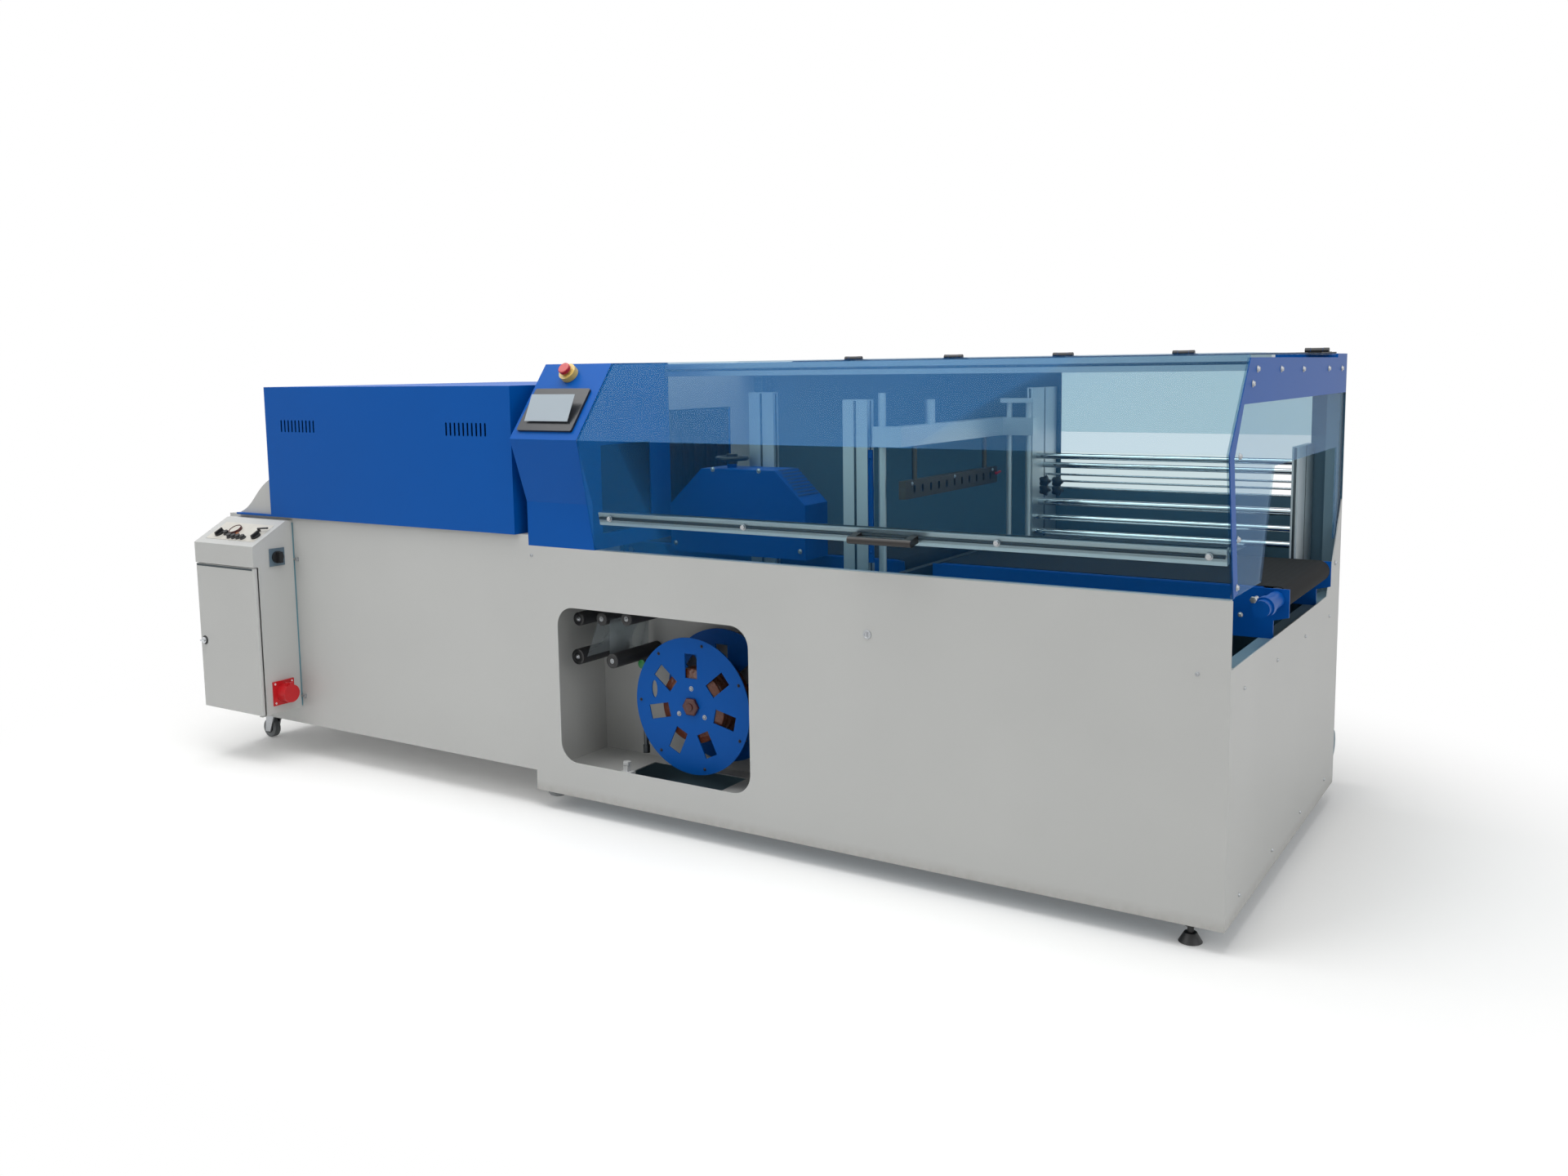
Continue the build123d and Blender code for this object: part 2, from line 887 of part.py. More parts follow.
def drive_roller(x, near_end):
    """A drive roller with its shaft, which starts at near_end and passes both side plates."""
    with BuildPart() as roller:
        bar_y(x, (plate_near + roller_play, plate_far - roller_play), roller_z, roller_radius - running_gap)
        bar_y(x, (near_end, plate_far + side_plate + shaft_end), roller_z, shaft_radius)
    return roller


# Infeed conveyor, which reaches out through the end shield
infeed_left = jaw_x + jaw_room
infeed_right = right + infeed_reach
infeed_bearing = front + opening_foot + bearing_gap
plate_top = belt_top - plate_drop
infeed_frame, infeed_axle = conveyor_frame(
    infeed_left,
    infeed_right - belt_overhang,
    1,
    [
        (infeed_left, right_rail_top),
        (frame_right - belt_overhang, right_rail_top),
        (frame_right - belt_overhang, end_height + foot_rise[0]),
        (infeed_right, end_height + foot_rise[1]),
        (infeed_right, plate_top),
        (infeed_left, plate_top),
    ],
    infeed_bearing,
)
infeed_belt = conveyor_belt(infeed_left, infeed_right - belt_overhang)
infeed_drive_roller = drive_roller(infeed_axle, infeed_bearing + bearing_cap + roller_play)

# Conveyor past the side seal, up to the tunnel
sealing_left = left + transfer_gap
sealing_right = jaw_x - jaw_room
sealing_frame, sealing_axle = conveyor_frame(
    sealing_left,
    sealing_right,
    -1,
    [
        (sealing_left, left_rail_top),
        (sealing_right, left_rail_top),
        (sealing_right, plate_top),
        (sealing_left, plate_top),
    ],
)
sealing_belt = conveyor_belt(sealing_left, sealing_right)
sealing_drive_roller = drive_roller(sealing_axle, plate_near - side_plate - shaft_end)

# Conveyor through the tunnel
tunnel_belt_left = exit_end - exit_reach
tunnel_belt_right = left - transfer_gap
tunnel_conveyor_frame, tunnel_axle = conveyor_frame(
    tunnel_belt_left + belt_overhang,
    tunnel_belt_right,
    -1,
    [
        (tunnel_belt_left, tunnel_bar_top),
        (tunnel_belt_right, tunnel_bar_top),
        (tunnel_belt_right, plate_top),
        (tunnel_belt_left, plate_top),
    ],
)
tunnel_belt = conveyor_belt(tunnel_belt_left + belt_overhang, tunnel_belt_right)
tunnel_drive_roller = drive_roller(tunnel_axle, plate_near - side_plate - shaft_end)

# Posts inside the hood: side seal post, cross seal post and the two plates of the film rods
post_front = front + seal_post_front
rod_start = right - rod_plate_left
rod_end = right - rod_plate_right
with BuildPart() as inner_posts:
    block(
        (right - seal_post_x - seal_post_width / 2, right - seal_post_x + seal_post_width / 2),
        (post_front, post_front + seal_post_depth),
        (left_rail_top, seal_post_top),
    )
    block(
        (right - column_post_x[0], right - column_post_x[1]),
        (front + column_post_y[0], front + column_post_y[1]),
        (left_rail_top, column_post_top),
    )
    for x, top in ((rod_start - rod_plate_thickness, rod_column_top), (rod_end, rod_plate_top)):
        block(
            (x, x + rod_plate_thickness),
            (front + rod_plate_front, frame_back - rear_shield_thickness),
            (right_rail_top, top),
        )

# Film rods between their two plates
rod_places = (
    (1180, 285, 10), (1240, 250, 10), (1270, 215, 4), (1270, 192, 4), (1270, 169, 4),
    (1200, 125, 12.5), (1160, 75, 10), (1160, 25, 10),
)
with BuildPart() as film_rods:
    for y, rise, radius in rod_places:
        bar_x((rod_start, rod_end), front + y, belt_top + rise, radius)

# Side sealing unit: a housing that slides on its post, and the wheel that sets its height
housing_back = post_front - running_gap
housing_outline = [
    (right - housing_left, housing_bottom),
    (right - housing_left, housing_bottom + housing_shoulders[0]),
    (right - housing_left + housing_slopes[0], housing_top),
    (right - housing_right - housing_slopes[1], housing_top),
    (right - housing_right, housing_bottom + housing_shoulders[1]),
    (right - housing_right, housing_bottom),
]
housing_inside = (
    [(right - housing_left, housing_bottom - sheet)]
    + housing_outline[1:5]
    + [(right - housing_right, housing_bottom - sheet)]
)
wheel_place = (right - wheel_x, front + wheel_y)
wheel_bore = (housing_top - 2 * sheet, housing_top + wheel_boss_height)
with BuildPart() as side_seal_housing:
    slab_y(housing_outline, (front + housing_front, housing_back))
    slab_y(
        inset(housing_inside, sheet),
        (front + housing_front + sheet, housing_back - sheet),
        Mode.SUBTRACT,
    )
    bar_z(*wheel_place, (housing_top - sheet, housing_top + wheel_boss_height), wheel_boss)
    bar_z(*wheel_place, wheel_bore, wheel_shaft + pin_clearance, Mode.SUBTRACT)

with BuildPart() as side_seal_handwheel:
    rim = housing_top + wheel_rise
    bar_z(*wheel_place, (housing_top - sheet, rim), wheel_shaft)
    bar_z(*wheel_place, (housing_top + wheel_boss_height + running_gap, rim + wheel_hub_rise), wheel_hub)
    with Locations((*wheel_place, rim)):
        Torus(wheel_radius - wheel_rim, wheel_rim)
        with PolarLocations(wheel_radius / 2, 3):
            Box(wheel_radius - wheel_rim, spoke_width, spoke_height)

# Cross sealing unit: fixed columns, the beam that slides on them, and its two jaws
column_x = right - front_column[0]
column_y = front + front_column[1]
rear_column_top = beam_bottom + rear_column_rise
rear_block = (right - rear_columns[0][0] - column_margin, right - rear_columns[1][0] + column_margin)
rear_y = (front + rear_columns[0][1] - arm_half, front + rear_columns[0][1] + arm_half)
with BuildPart() as jaw_columns:
    foot_x = (column_x - column_foot, column_x + column_foot)
    foot_y = (column_y - column_foot, column_y + column_foot)
    bar_z(column_x, column_y, (right_rail_top, column_post_top + column_rise), front_column_radius)
    block(foot_x, foot_y, (right_rail_top, right_rail_top + column_foot_height))
    for column in rear_columns:
        bar_z(right - column[0], front + column[1], (right_rail_top, rear_column_top), rear_column_radius)
    block(rear_block, rear_y, (right_rail_top, right_rail_top + column_foot_height))
    block(rear_block, rear_y, (rear_column_top - column_foot_height, rear_column_top))

with BuildPart() as cross_beam:
    beam_z = (beam_bottom, beam_bottom + beam_height)
    block((jaw_x - beam_width / 2, jaw_x + beam_width / 2), (column_y - arm_half, rear_y[1]), beam_z)
    block((column_x - arm_half, jaw_x), (column_y - arm_half, column_y + arm_half), beam_z)
    block((jaw_x, rear_block[1]), rear_y, beam_z)
    bar_z(column_x, column_y, beam_z, front_column_radius + pin_clearance, Mode.SUBTRACT)
    for column in rear_columns:
        place = (right - column[0], front + column[1])
        bar_z(*place, beam_z, rear_column_radius + pin_clearance, Mode.SUBTRACT)
    bar_z(jaw_x, front + cylinder_y, (beam_z[1], beam_z[1] + cylinder_height), cylinder_radius)

jaw_xs = (jaw_x - jaw_thickness / 2, jaw_x + jaw_thickness / 2)
with BuildPart() as cross_jaw_upper:
    block(jaw_xs, (front + jaw_front, front + jaw_rear), (jaw_bottom, jaw_bottom + jaw_height))
    with BuildSketch(Plane.YZ.offset(jaw_xs[0])):
        with Locations((front + (jaw_front + jaw_rear) / 2, jaw_bottom + jaw_height / 2)):
            with GridLocations((jaw_rear - jaw_front) / (jaw_slots + 1), 1, jaw_slots, 1):
                SlotOverall(*slot_size, rotation=90)
    extrude(amount=jaw_thickness, mode=Mode.SUBTRACT)
    for hanger in (jaw_front + hanger_inset, jaw_rear - hanger_inset):
        bar_z(jaw_x, front + hanger, (jaw_bottom + jaw_height, beam_bottom), hanger_radius)

with BuildPart() as cross_jaw_lower:
    lower_jaw_low = lower_jaw_top - lower_jaw_height
    block(jaw_xs, (front + jaw_front, front + jaw_rear), (lower_jaw_low, lower_jaw_top))
    for guide in (jaw_front + guide_inset, jaw_rear - guide_inset):
        bar_z(jaw_x, front + guide, (right_rail_top - lower_travel - pin_depth, lower_jaw_low), guide_radius)

# Film cradle behind the sealer, its two rollers and the film roll on them
roller_y = (back + cradle_front_roller, back + cradle_front_roller + cradle_pitch)
cradle_z = (cradle_bottom + cradle_top) / 2
cradle_round = (cradle_top - cradle_bottom) / 2
cradle_xs = (right - cradle_left, right - cradle_right - cradle_plate)
with BuildPart() as cradle_frame:
    for x in cradle_xs:
        block((x, x + cradle_plate), (back, back + cradle_reach - cradle_round), (cradle_bottom, cradle_top))
        bar_x((x, x + cradle_plate), back + cradle_reach - cradle_round, cradle_z, cradle_round)
        for y in roller_y:
            bar_x((x, x + cradle_plate), y, cradle_z, cradle_shaft + pin_clearance, Mode.SUBTRACT)
    block(cradle_xs, (back, back + sheet), (cradle_bottom, cradle_top))

shaft_left = cradle_xs[0] + roller_play
shaft_right = cradle_xs[1] + cradle_plate - roller_play


def cradle_roller(y):
    """A roller of the film cradle with its shaft in both plates."""
    with BuildPart() as roller:
        drum = (shaft_left + cradle_plate, shaft_right - cradle_plate)
        bar_x(drum, y, cradle_z, cradle_roller_radius)
        bar_x((shaft_left, shaft_right), y, cradle_z, cradle_shaft)
    return roller


roller_near = cradle_roller(roller_y[0])
roller_far = cradle_roller(roller_y[1])
film_contact = cradle_roller_radius + film_radius + running_gap
film_y = (roller_y[0] + roller_y[1]) / 2
film_z = cradle_z + sqrt(film_contact**2 - (cradle_pitch / 2) ** 2)
film_middle = (cradle_xs[0] + cradle_xs[1]) / 2
film_span = (film_middle - film_length / 2, film_middle + film_length / 2)
with BuildPart() as film_roll:
    bar_x(film_span, film_y, film_z, film_radius)
    core_span = (film_span[0] - core_overhang, film_span[1] + core_overhang)
    bar_x(core_span, film_y, film_z, film_core)
    bar_x(core_span, film_y, film_z, film_core - core_wall, Mode.SUBTRACT)

# Base cabinet of the tunnel, with its end walls cut down for the conveyor
tunnel_back = front + tunnel_depth
caster_x = exit_end + caster_inset[0]
caster_ys = (front + caster_inset[1], tunnel_back - caster_inset[1])
caster_floor = (tunnel_base_bottom, tunnel_base_bottom + caster_plate_thickness)
with BuildPart() as tunnel_base:
    block((exit_end, left), (front, tunnel_back), (tunnel_base_bottom, tunnel_base_top))
    block(
        (exit_end + sheet, left - sheet),
        (front + sheet, tunnel_back - sheet),
        (tunnel_base_bottom + sheet, tunnel_base_top - sheet),
        Mode.SUBTRACT,
    )
    block(
        (exit_end, left),
        (front + duct_front, front + duct_rear),
        (tunnel_bar_top, tunnel_base_top),
        Mode.SUBTRACT,
    )
    for x in (exit_end + bar_inset, left - bar_inset - tube):
        block((x, x + tube), (front + sheet, tunnel_back - sheet), (tunnel_bar_top - tube, tunnel_bar_top))
    for y in caster_ys:
        pad_x = (caster_x - caster_plate / 2, caster_x + caster_plate / 2)
        block(pad_x, (y - caster_plate / 2, y + caster_plate / 2), caster_floor)
        bar_z(caster_x, y, caster_floor, king_pin_radius + pin_clearance, Mode.SUBTRACT)

# Hood of the tunnel: an outer skin over the duct, with flanges on the deck
skin_right = left - housing_start
skin_left = skin_right - tunnel_housing_length
skin_front = front - housing_overhang
duct_near = front + duct_front
duct_far = front + duct_rear
roof = (tunnel_housing_top - tunnel_sheet, tunnel_housing_top)
fan_x = (skin_left + skin_right) / 2
fan_y = (duct_near + duct_far) / 2
motor_low = roof[0] - motor_height
with BuildPart() as tunnel_housing:
    block((skin_left, skin_right), (skin_front, tunnel_back), (tunnel_base_top, tunnel_housing_top))
    block(
        (skin_left + tunnel_sheet, skin_right - tunnel_sheet),
        (skin_front + tunnel_sheet, tunnel_back - tunnel_sheet),
        (tunnel_base_top, roof[0]),
        Mode.SUBTRACT,
    )
    block(
        (skin_left, skin_right),
        (duct_near - tunnel_sheet, duct_far + tunnel_sheet),
        (tunnel_base_top, duct_top + tunnel_sheet),
    )
    block((skin_left, skin_right), (duct_near, duct_far), (tunnel_base_top, duct_top), Mode.SUBTRACT)
    motor_x = (fan_x - motor_width / 2, fan_x + motor_width / 2)
    motor_y = (fan_y - motor_width / 2, fan_y + motor_width / 2)
    block(motor_x, motor_y, (motor_low, roof[0]))
    bar_z(fan_x, fan_y, (motor_low, roof[0] - motor_cap), fan_shaft + pin_clearance, Mode.SUBTRACT)
    for y in ((skin_front, duct_near), (duct_far, tunnel_back)):
        block((skin_left - exit_bed_length, skin_left), y, (tunnel_base_top, tunnel_base_top + deck_flange))
    for x in vent_xs:
        with BuildSketch(Plane.XZ.offset(-(skin_front + tunnel_sheet))):
            with Locations((right - x, vent_z)):
                with GridLocations(vent_pitch, 1, vent_slots, 1):
                    SlotOverall(vent_height, vent_width, rotation=90)
        extrude(amount=tunnel_sheet, mode=Mode.SUBTRACT)

# Circulation fan in the roof of the tunnel, above the duct
fan_low = duct_top + tunnel_sheet + fan_gap
with BuildPart() as circulation_fan:
    bar_z(fan_x, fan_y, (fan_low, fan_low + fan_disc), fan_radius)
    bar_z(fan_x, fan_y, (fan_low, roof[0] - motor_cap - roller_play), fan_shaft)
    with Locations((fan_x, fan_y, fan_low + blade_rise)):
        with PolarLocations(blade_ring, blade_count):
            Box(*blade_size)

# Curtain strips that hang at both ends of the duct
strip_pitch = (duct_far - duct_near) / curtain_strips
with BuildPart() as tunnel_curtains:
    for x in (skin_left + curtain_inset, skin_right - curtain_inset - tunnel_sheet):
        for index in range(curtain_strips):
            y = duct_near + index * strip_pitch
            strip_y = (y + curtain_slit, y + strip_pitch - curtain_slit)
            block((x, x + tunnel_sheet), strip_y, (belt_top + curtain_gap, duct_top))

# Cheek plates that guard the exit bed, with an S-shaped top edge
guard_foot = tunnel_base_top + deck_flange
guard_top = guard_foot + guard_height
guard_tip = skin_left - exit_bed_length + guard_margin
guard_middle = ((skin_left + guard_tip) / 2 + guard_bulge[0], (guard_foot + guard_top) / 2 + guard_bulge[1])
guard_ys = (front, duct_near - guard_inset - sheet, duct_far + guard_inset, tunnel_back - sheet)
with BuildPart() as exit_guards:
    for y in guard_ys:
        with BuildSketch(Plane.XZ.offset(-(y + sheet))):
            with BuildLine():
                Line((skin_left, guard_foot), (skin_left, guard_top))
                Spline(
                    (skin_left, guard_top),
                    guard_middle,
                    (guard_tip, guard_foot + guard_lip),
                    tangents=[(-1, -guard_slopes[0]), (-1, -guard_slopes[1])],
                )
                Line((guard_tip, guard_foot + guard_lip), (guard_tip, guard_foot))
                Line((guard_tip, guard_foot), (skin_left, guard_foot))
            make_face()
        extrude(amount=sheet)

# Electric box on the tunnel's front, with its slanted control panel
box_x = (box_right - box_width, box_right)
box_in = (box_x[0] + box_wall, box_x[1] - box_wall)
box_face = front - box_depth
brow_face = box_face - box_brow
brow_under = box_door_top + box_wall
slant_top = (front - box_ridge, box_top)
slant_foot = (brow_face, box_brow_top)
box_outline = [
    (front, box_bottom),
    (box_face, box_bottom),
    (box_face, brow_under),
    (brow_face, brow_under),
    slant_foot,
    slant_top,
    (front, box_top),
]
slant_run = slant_top[0] - slant_foot[0]
slant_rise = slant_top[1] - slant_foot[1]
slant_length = hypot(slant_run, slant_rise)


def panel_plane(from_left, along):
    """A plane on the box's slanted panel, with its normal pointing up at the operator."""
    share = along / slant_length
    origin = (box_x[0] + from_left, slant_foot[0] + share * slant_run, slant_foot[1] + share * slant_rise)
    normal = (0, -slant_rise / slant_length, slant_run / slant_length)
    return Plane(origin=origin, x_dir=(1, 0, 0), z_dir=normal)


knob_planes = [panel_plane(x, knob_along) for x in knob_places]
switch_place = (front - switch_y, switch_z)
socket_place = (front - socket_y, socket_z)
box_inside = inset(box_outline, box_wall)[1:-1] + [
    (front - box_wall, box_top - box_wall),
    (front - box_wall, box_bottom + box_wall),
]
plate_face = box_right + switch_plate_thickness
door_face = box_face - running_gap
lock_face = door_face - box_door_thickness
edge_radius = box_door_thickness / 2
pivot = (box_x[1] - box_door_margin - edge_radius, door_face - edge_radius)
pivot_spans = (
    (box_bottom - box_wall, box_bottom + box_door_margin + pivot_depth),
    (box_door_top - pivot_depth, brow_under + box_wall),
)
with BuildPart() as box_body:
    slab_x(box_outline, box_x)
    slab_x(box_inside, box_in, Mode.SUBTRACT)
    block(box_in, (box_face, front - box_wall), (box_bottom + box_wall, box_door_top), Mode.SUBTRACT)
    for plane in knob_planes:
        with BuildSketch(plane):
            Circle(knob_shaft + pin_clearance)
        extrude(amount=-2 * box_wall, mode=Mode.SUBTRACT)
    block(
        (box_right, plate_face),
        (switch_place[0] - switch_plate / 2, switch_place[0] + switch_plate / 2),
        (switch_place[1] - switch_plate / 2, switch_place[1] + switch_plate / 2),
    )
    bar_x((box_in[1], plate_face), *switch_place, switch_shaft + pin_clearance, Mode.SUBTRACT)
    lug = (pivot[0] - edge_radius, pivot[0] + edge_radius)
    block(lug, (lock_face, box_face + pivot_lug), (box_bottom - box_wall, box_bottom))
    for span in pivot_spans:
        bar_z(*pivot, span, pivot_radius)

# Door of the electric box, round at its hinged edge, and its quarter-turn lock
lock_x = box_x[0] + lock_inset
leaf_x = (box_x[0] + box_door_margin, pivot[0])
leaf_z = (box_bottom + box_door_margin, box_door_top)
with BuildPart() as box_door:
    block(leaf_x, (lock_face, door_face), leaf_z)
    block(
        (leaf_x[0] + sheet, leaf_x[1]),
        (lock_face + sheet, door_face),
        (leaf_z[0] + sheet, leaf_z[1] - sheet),
        Mode.SUBTRACT,
    )
    bar_z(*pivot, leaf_z, edge_radius)
    for span in pivot_spans:
        bar_z(*pivot, span, pivot_radius + pin_clearance, Mode.SUBTRACT)
    bar_y(lock_x, (lock_face, door_face), lock_z, lock_shaft + pin_clearance, Mode.SUBTRACT)

grip_rear = lock_face - lock_reach + lock_grip[0]
with BuildPart() as box_lock:
    bar_y(lock_x, (grip_rear, lock_face + sheet + lock_nut), lock_z, lock_shaft)
    bar_y(lock_x, (grip_rear, lock_face - running_gap), lock_z, lock_radius)
    bar_y(lock_x, (lock_face + sheet + running_gap, lock_face + sheet + lock_nut), lock_z, lock_radius)
    block(
        (lock_x - lock_radius, lock_x + lock_radius),
        (lock_face - lock_reach, grip_rear),
        (lock_z - lock_grip[1] / 2, lock_z + lock_grip[1] / 2),
    )

# Main switch handle on the side of the box
disc_face = plate_face + switch_disc[1]
with BuildPart() as main_switch_handle:
    bar_x((box_in[1], disc_face), *switch_place, switch_shaft)
    bar_x((plate_face + running_gap, disc_face), *switch_place, switch_disc[0])
    block(
        (disc_face, disc_face + switch_grip[0]),
        (switch_place[0] - switch_grip[1] / 2, switch_place[0] + switch_grip[1] / 2),
        (switch_place[1] - switch_grip[2] / 2, switch_place[1] + switch_grip[2] / 2),
    )

# Power inlet with its spring lid
socket_face = box_right + socket_length
flange_face = box_right + socket_flange_thickness
lid_pivot = (socket_face - lid_pin_place[0], socket_place[1] + socket_radius + lid_pin_place[1])
with BuildPart() as power_socket:
    block(
        (box_right, flange_face),
        (socket_place[0] - socket_flange / 2, socket_place[0] + socket_flange / 2),
        (socket_place[1] - socket_flange / 2, socket_place[1] + socket_flange / 2),
    )
    bar_x((flange_face, socket_face), *socket_place, socket_radius)
    bar_x((box_right + socket_floor, socket_face), *socket_place, socket_radius - socket_wall, Mode.SUBTRACT)
    ear_z = (socket_place[1] + socket_radius - ear_rise[0], socket_place[1] + socket_radius + ear_rise[1])
    for side in (-1, 1):
        ear = sorted((socket_place[0] + side * ear_inner, socket_place[0] + side * ear_outer))
        block((socket_face - ear_reach, socket_face), ear, ear_z)
    bar_y(lid_pivot[0], (socket_place[0] - ear_outer, socket_place[0] + ear_outer), lid_pivot[1], lid_pin)

arm_y_span = (socket_place[0] - lid_arm / 2, socket_place[0] + lid_arm / 2)
lid_x = (socket_face + running_gap, socket_face + lid_thickness)
with BuildPart() as socket_lid:
    bar_x(lid_x, *socket_place, socket_radius + lid_rim)
    block((lid_pivot[0], lid_x[1]), arm_y_span, (lid_pivot[1] - lid_knuckle, lid_pivot[1] + lid_knuckle))
    block(lid_x, arm_y_span, (socket_place[1], lid_pivot[1]))
    bar_y(lid_pivot[0], arm_y_span, lid_pivot[1], lid_knuckle)
    bar_y(lid_pivot[0], arm_y_span, lid_pivot[1], lid_pin + pin_clearance, Mode.SUBTRACT)


def panel_knob(plane):
    """A setting knob with its grip bar and its shaft through the panel."""
    with BuildPart() as knob:
        with BuildSketch(plane.offset(running_gap)):
            Circle(knob_radius)
        extrude(amount=knob_skirt)
        with BuildSketch(plane.offset(knob_skirt)):
            Rectangle(knob_grip[0], knob_grip[1])
        extrude(amount=knob_grip[2])
        with BuildSketch(plane.offset(2 * running_gap)):
            Circle(knob_shaft)
        extrude(amount=-knob_shaft_length)
    return knob


panel_knob_left = panel_knob(knob_planes[0])
panel_knob_right = panel_knob(knob_planes[1])


def caster_fork(y):
    """A swivelling fork: a disc with its king pin and two legs that hold the axle."""
    disc_low = caster_top - caster_disc_height
    with BuildPart() as fork:
        bar_z(caster_x, y, (disc_low, caster_top), caster_disc)
        bar_z(caster_x, y, (disc_low, caster_top + caster_disc_height), king_pin_radius)
        bar_z(caster_x, y, (disc_low - caster_disc_height, disc_low), caster_boss)
        for side in (-1, 1):
            slab_y(
                [
                    (caster_x - caster_leg_top[0], disc_low),
                    (caster_x + caster_leg_top[1], disc_low),
                    (axle_x + caster_leg_foot, caster_wheel_radius - caster_leg_end),
                    (axle_x - caster_leg_foot, caster_wheel_radius - caster_leg_end),
                ],
                sorted((y + side * caster_leg[0], y + side * caster_leg[1])),
            )
        bar_y(axle_x, (y - caster_leg[1], y + caster_leg[1]), caster_wheel_radius, caster_axle)
    return fork


def caster_wheel(y):
    """A caster's wheel, bored for the fork's axle."""
    tread = (y - caster_wheel_width / 2, y + caster_wheel_width / 2)
    with BuildPart() as wheel:
        bar_y(axle_x, tread, caster_wheel_radius, caster_wheel_radius)
        fillet(wheel.edges().filter_by(GeomType.CIRCLE), radius=caster_round)
        bar_y(axle_x, tread, caster_wheel_radius, caster_axle + pin_clearance, Mode.SUBTRACT)
    return wheel


axle_x = caster_x - caster_trail
caster_top = tunnel_base_bottom - running_gap
front_caster_fork = caster_fork(caster_ys[0])
front_caster_wheel = caster_wheel(caster_ys[0])
rear_caster_fork = caster_fork(caster_ys[1])
rear_caster_wheel = caster_wheel(caster_ys[1])

# Levelling feet under the corners of the sealer
with BuildPart() as levelling_feet:
    plate_low = sealer_base - foot_plate
    left_feet = (left + left_foot_inset[0], left_foot_inset[1])
    right_feet = (right - foot_inset[0], foot_inset[1])
    for x, inset_y in (left_feet, right_feet):
        for y in (front + inset_y, back - inset_y):
            pad_x = (x - foot_plate_size[0] / 2, x + foot_plate_size[0] / 2)
            pad_y = (y - foot_plate_size[1] / 2, y + foot_plate_size[1] / 2)
            block(pad_x, pad_y, (plate_low, sealer_base))
            bar_z(x, y, (foot_pad / 2, plate_low), foot_stem)
            bar_z(x, y, (plate_low - foot_nut, plate_low), 2 * foot_stem)
            with Locations((x, y, foot_pad / 2)):
                Cone(foot_radius, 2 * foot_stem, foot_pad)

pieces = {
    "sealer_frame": sealer_frame,
    "sealer_front_panel": sealer_front_panel,
    "sealer_end_panel": sealer_end_panel,
    "sealer_rear_panel": sealer_rear_panel,
    "outfeed_side_plate": outfeed_side_plate,
    "winder_bay": winder_bay,
    "guide_rollers": guide_rollers,
    "scrap_reel": scrap_reel,
    "dancer_arm": dancer_arm,
    "console_housing": console_housing,
    "touch_panel": touch_panel,
    "stop_collar": stop_collar,
    "stop_button": stop_button,
    "hood_beam": hood_beam,
    "door_hinges": door_hinges,
    "door_shield": door_shield,
    "door_rails": door_rails,
    "door_handle": door_handle,
    "end_shield": end_shield,
    "end_shield_trim": end_shield_trim,
    "rear_shield": rear_shield,
    "infeed_frame": infeed_frame,
    "infeed_belt": infeed_belt,
    "infeed_drive_roller": infeed_drive_roller,
    "sealing_frame": sealing_frame,
    "sealing_belt": sealing_belt,
    "sealing_drive_roller": sealing_drive_roller,
    "tunnel_conveyor_frame": tunnel_conveyor_frame,
    "tunnel_belt": tunnel_belt,
    "tunnel_drive_roller": tunnel_drive_roller,
    "inner_posts": inner_posts,
    "film_rods": film_rods,
    "side_seal_housing": side_seal_housing,
    "side_seal_handwheel": side_seal_handwheel,
    "jaw_columns": jaw_columns,
    "cross_beam": cross_beam,
    "cross_jaw_upper": cross_jaw_upper,
    "cross_jaw_lower": cross_jaw_lower,
    "cradle_frame": cradle_frame,
    "cradle_front_roller": roller_near,
    "cradle_rear_roller": roller_far,
    "film_roll": film_roll,
    "tunnel_base": tunnel_base,
    "tunnel_housing": tunnel_housing,
    "circulation_fan": circulation_fan,
    "tunnel_curtains": tunnel_curtains,
    "exit_guards": exit_guards,
    "box_body": box_body,
    "box_door": box_door,
    "box_lock": box_lock,
    "main_switch_handle": main_switch_handle,
    "power_socket": power_socket,
    "socket_lid": socket_lid,
    "panel_knob_left": panel_knob_left,
    "panel_knob_right": panel_knob_right,
    "front_caster_fork": front_caster_fork,
    "front_caster_wheel": front_caster_wheel,
    "rear_caster_fork": rear_caster_fork,
    "rear_caster_wheel": rear_caster_wheel,
    "levelling_feet": levelling_feet,
}
# Each piece is labelled with its node's name and written to a STEP file
os.makedirs("parts", exist_ok=True)
for name, piece in pieces.items():
    piece.part.label = name
    export_step(piece.part, f"parts/{name}.step")
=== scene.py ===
"""Finishes, fittings and studio of a side sealing machine with its shrink tunnel.

Laid out as an add-on and run as a script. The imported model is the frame: every piece below is
given in millimetres in the model's own axes, with +X towards the infeed, -Y towards the operator
and +Z up, and rides on one of its bodies.
"""

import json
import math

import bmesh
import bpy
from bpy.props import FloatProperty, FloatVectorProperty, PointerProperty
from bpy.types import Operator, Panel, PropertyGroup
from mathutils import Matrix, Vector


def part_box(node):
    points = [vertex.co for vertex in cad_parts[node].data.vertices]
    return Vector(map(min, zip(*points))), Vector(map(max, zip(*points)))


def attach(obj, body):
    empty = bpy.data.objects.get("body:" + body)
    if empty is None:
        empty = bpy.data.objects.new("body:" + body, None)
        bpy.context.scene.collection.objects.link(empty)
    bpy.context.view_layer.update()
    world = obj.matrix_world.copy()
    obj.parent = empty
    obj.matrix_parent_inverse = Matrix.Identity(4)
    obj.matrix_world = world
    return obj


bl_info = {
    "name": "Side sealing machine looks",
    "version": (1, 0, 0),
    "blender": (4, 5, 0),
    "location": "3D View > Sidebar > Sealing machine",
    "description": "Finishes and fittings of a side sealing machine with its shrink tunnel",
    "category": "Object",
}

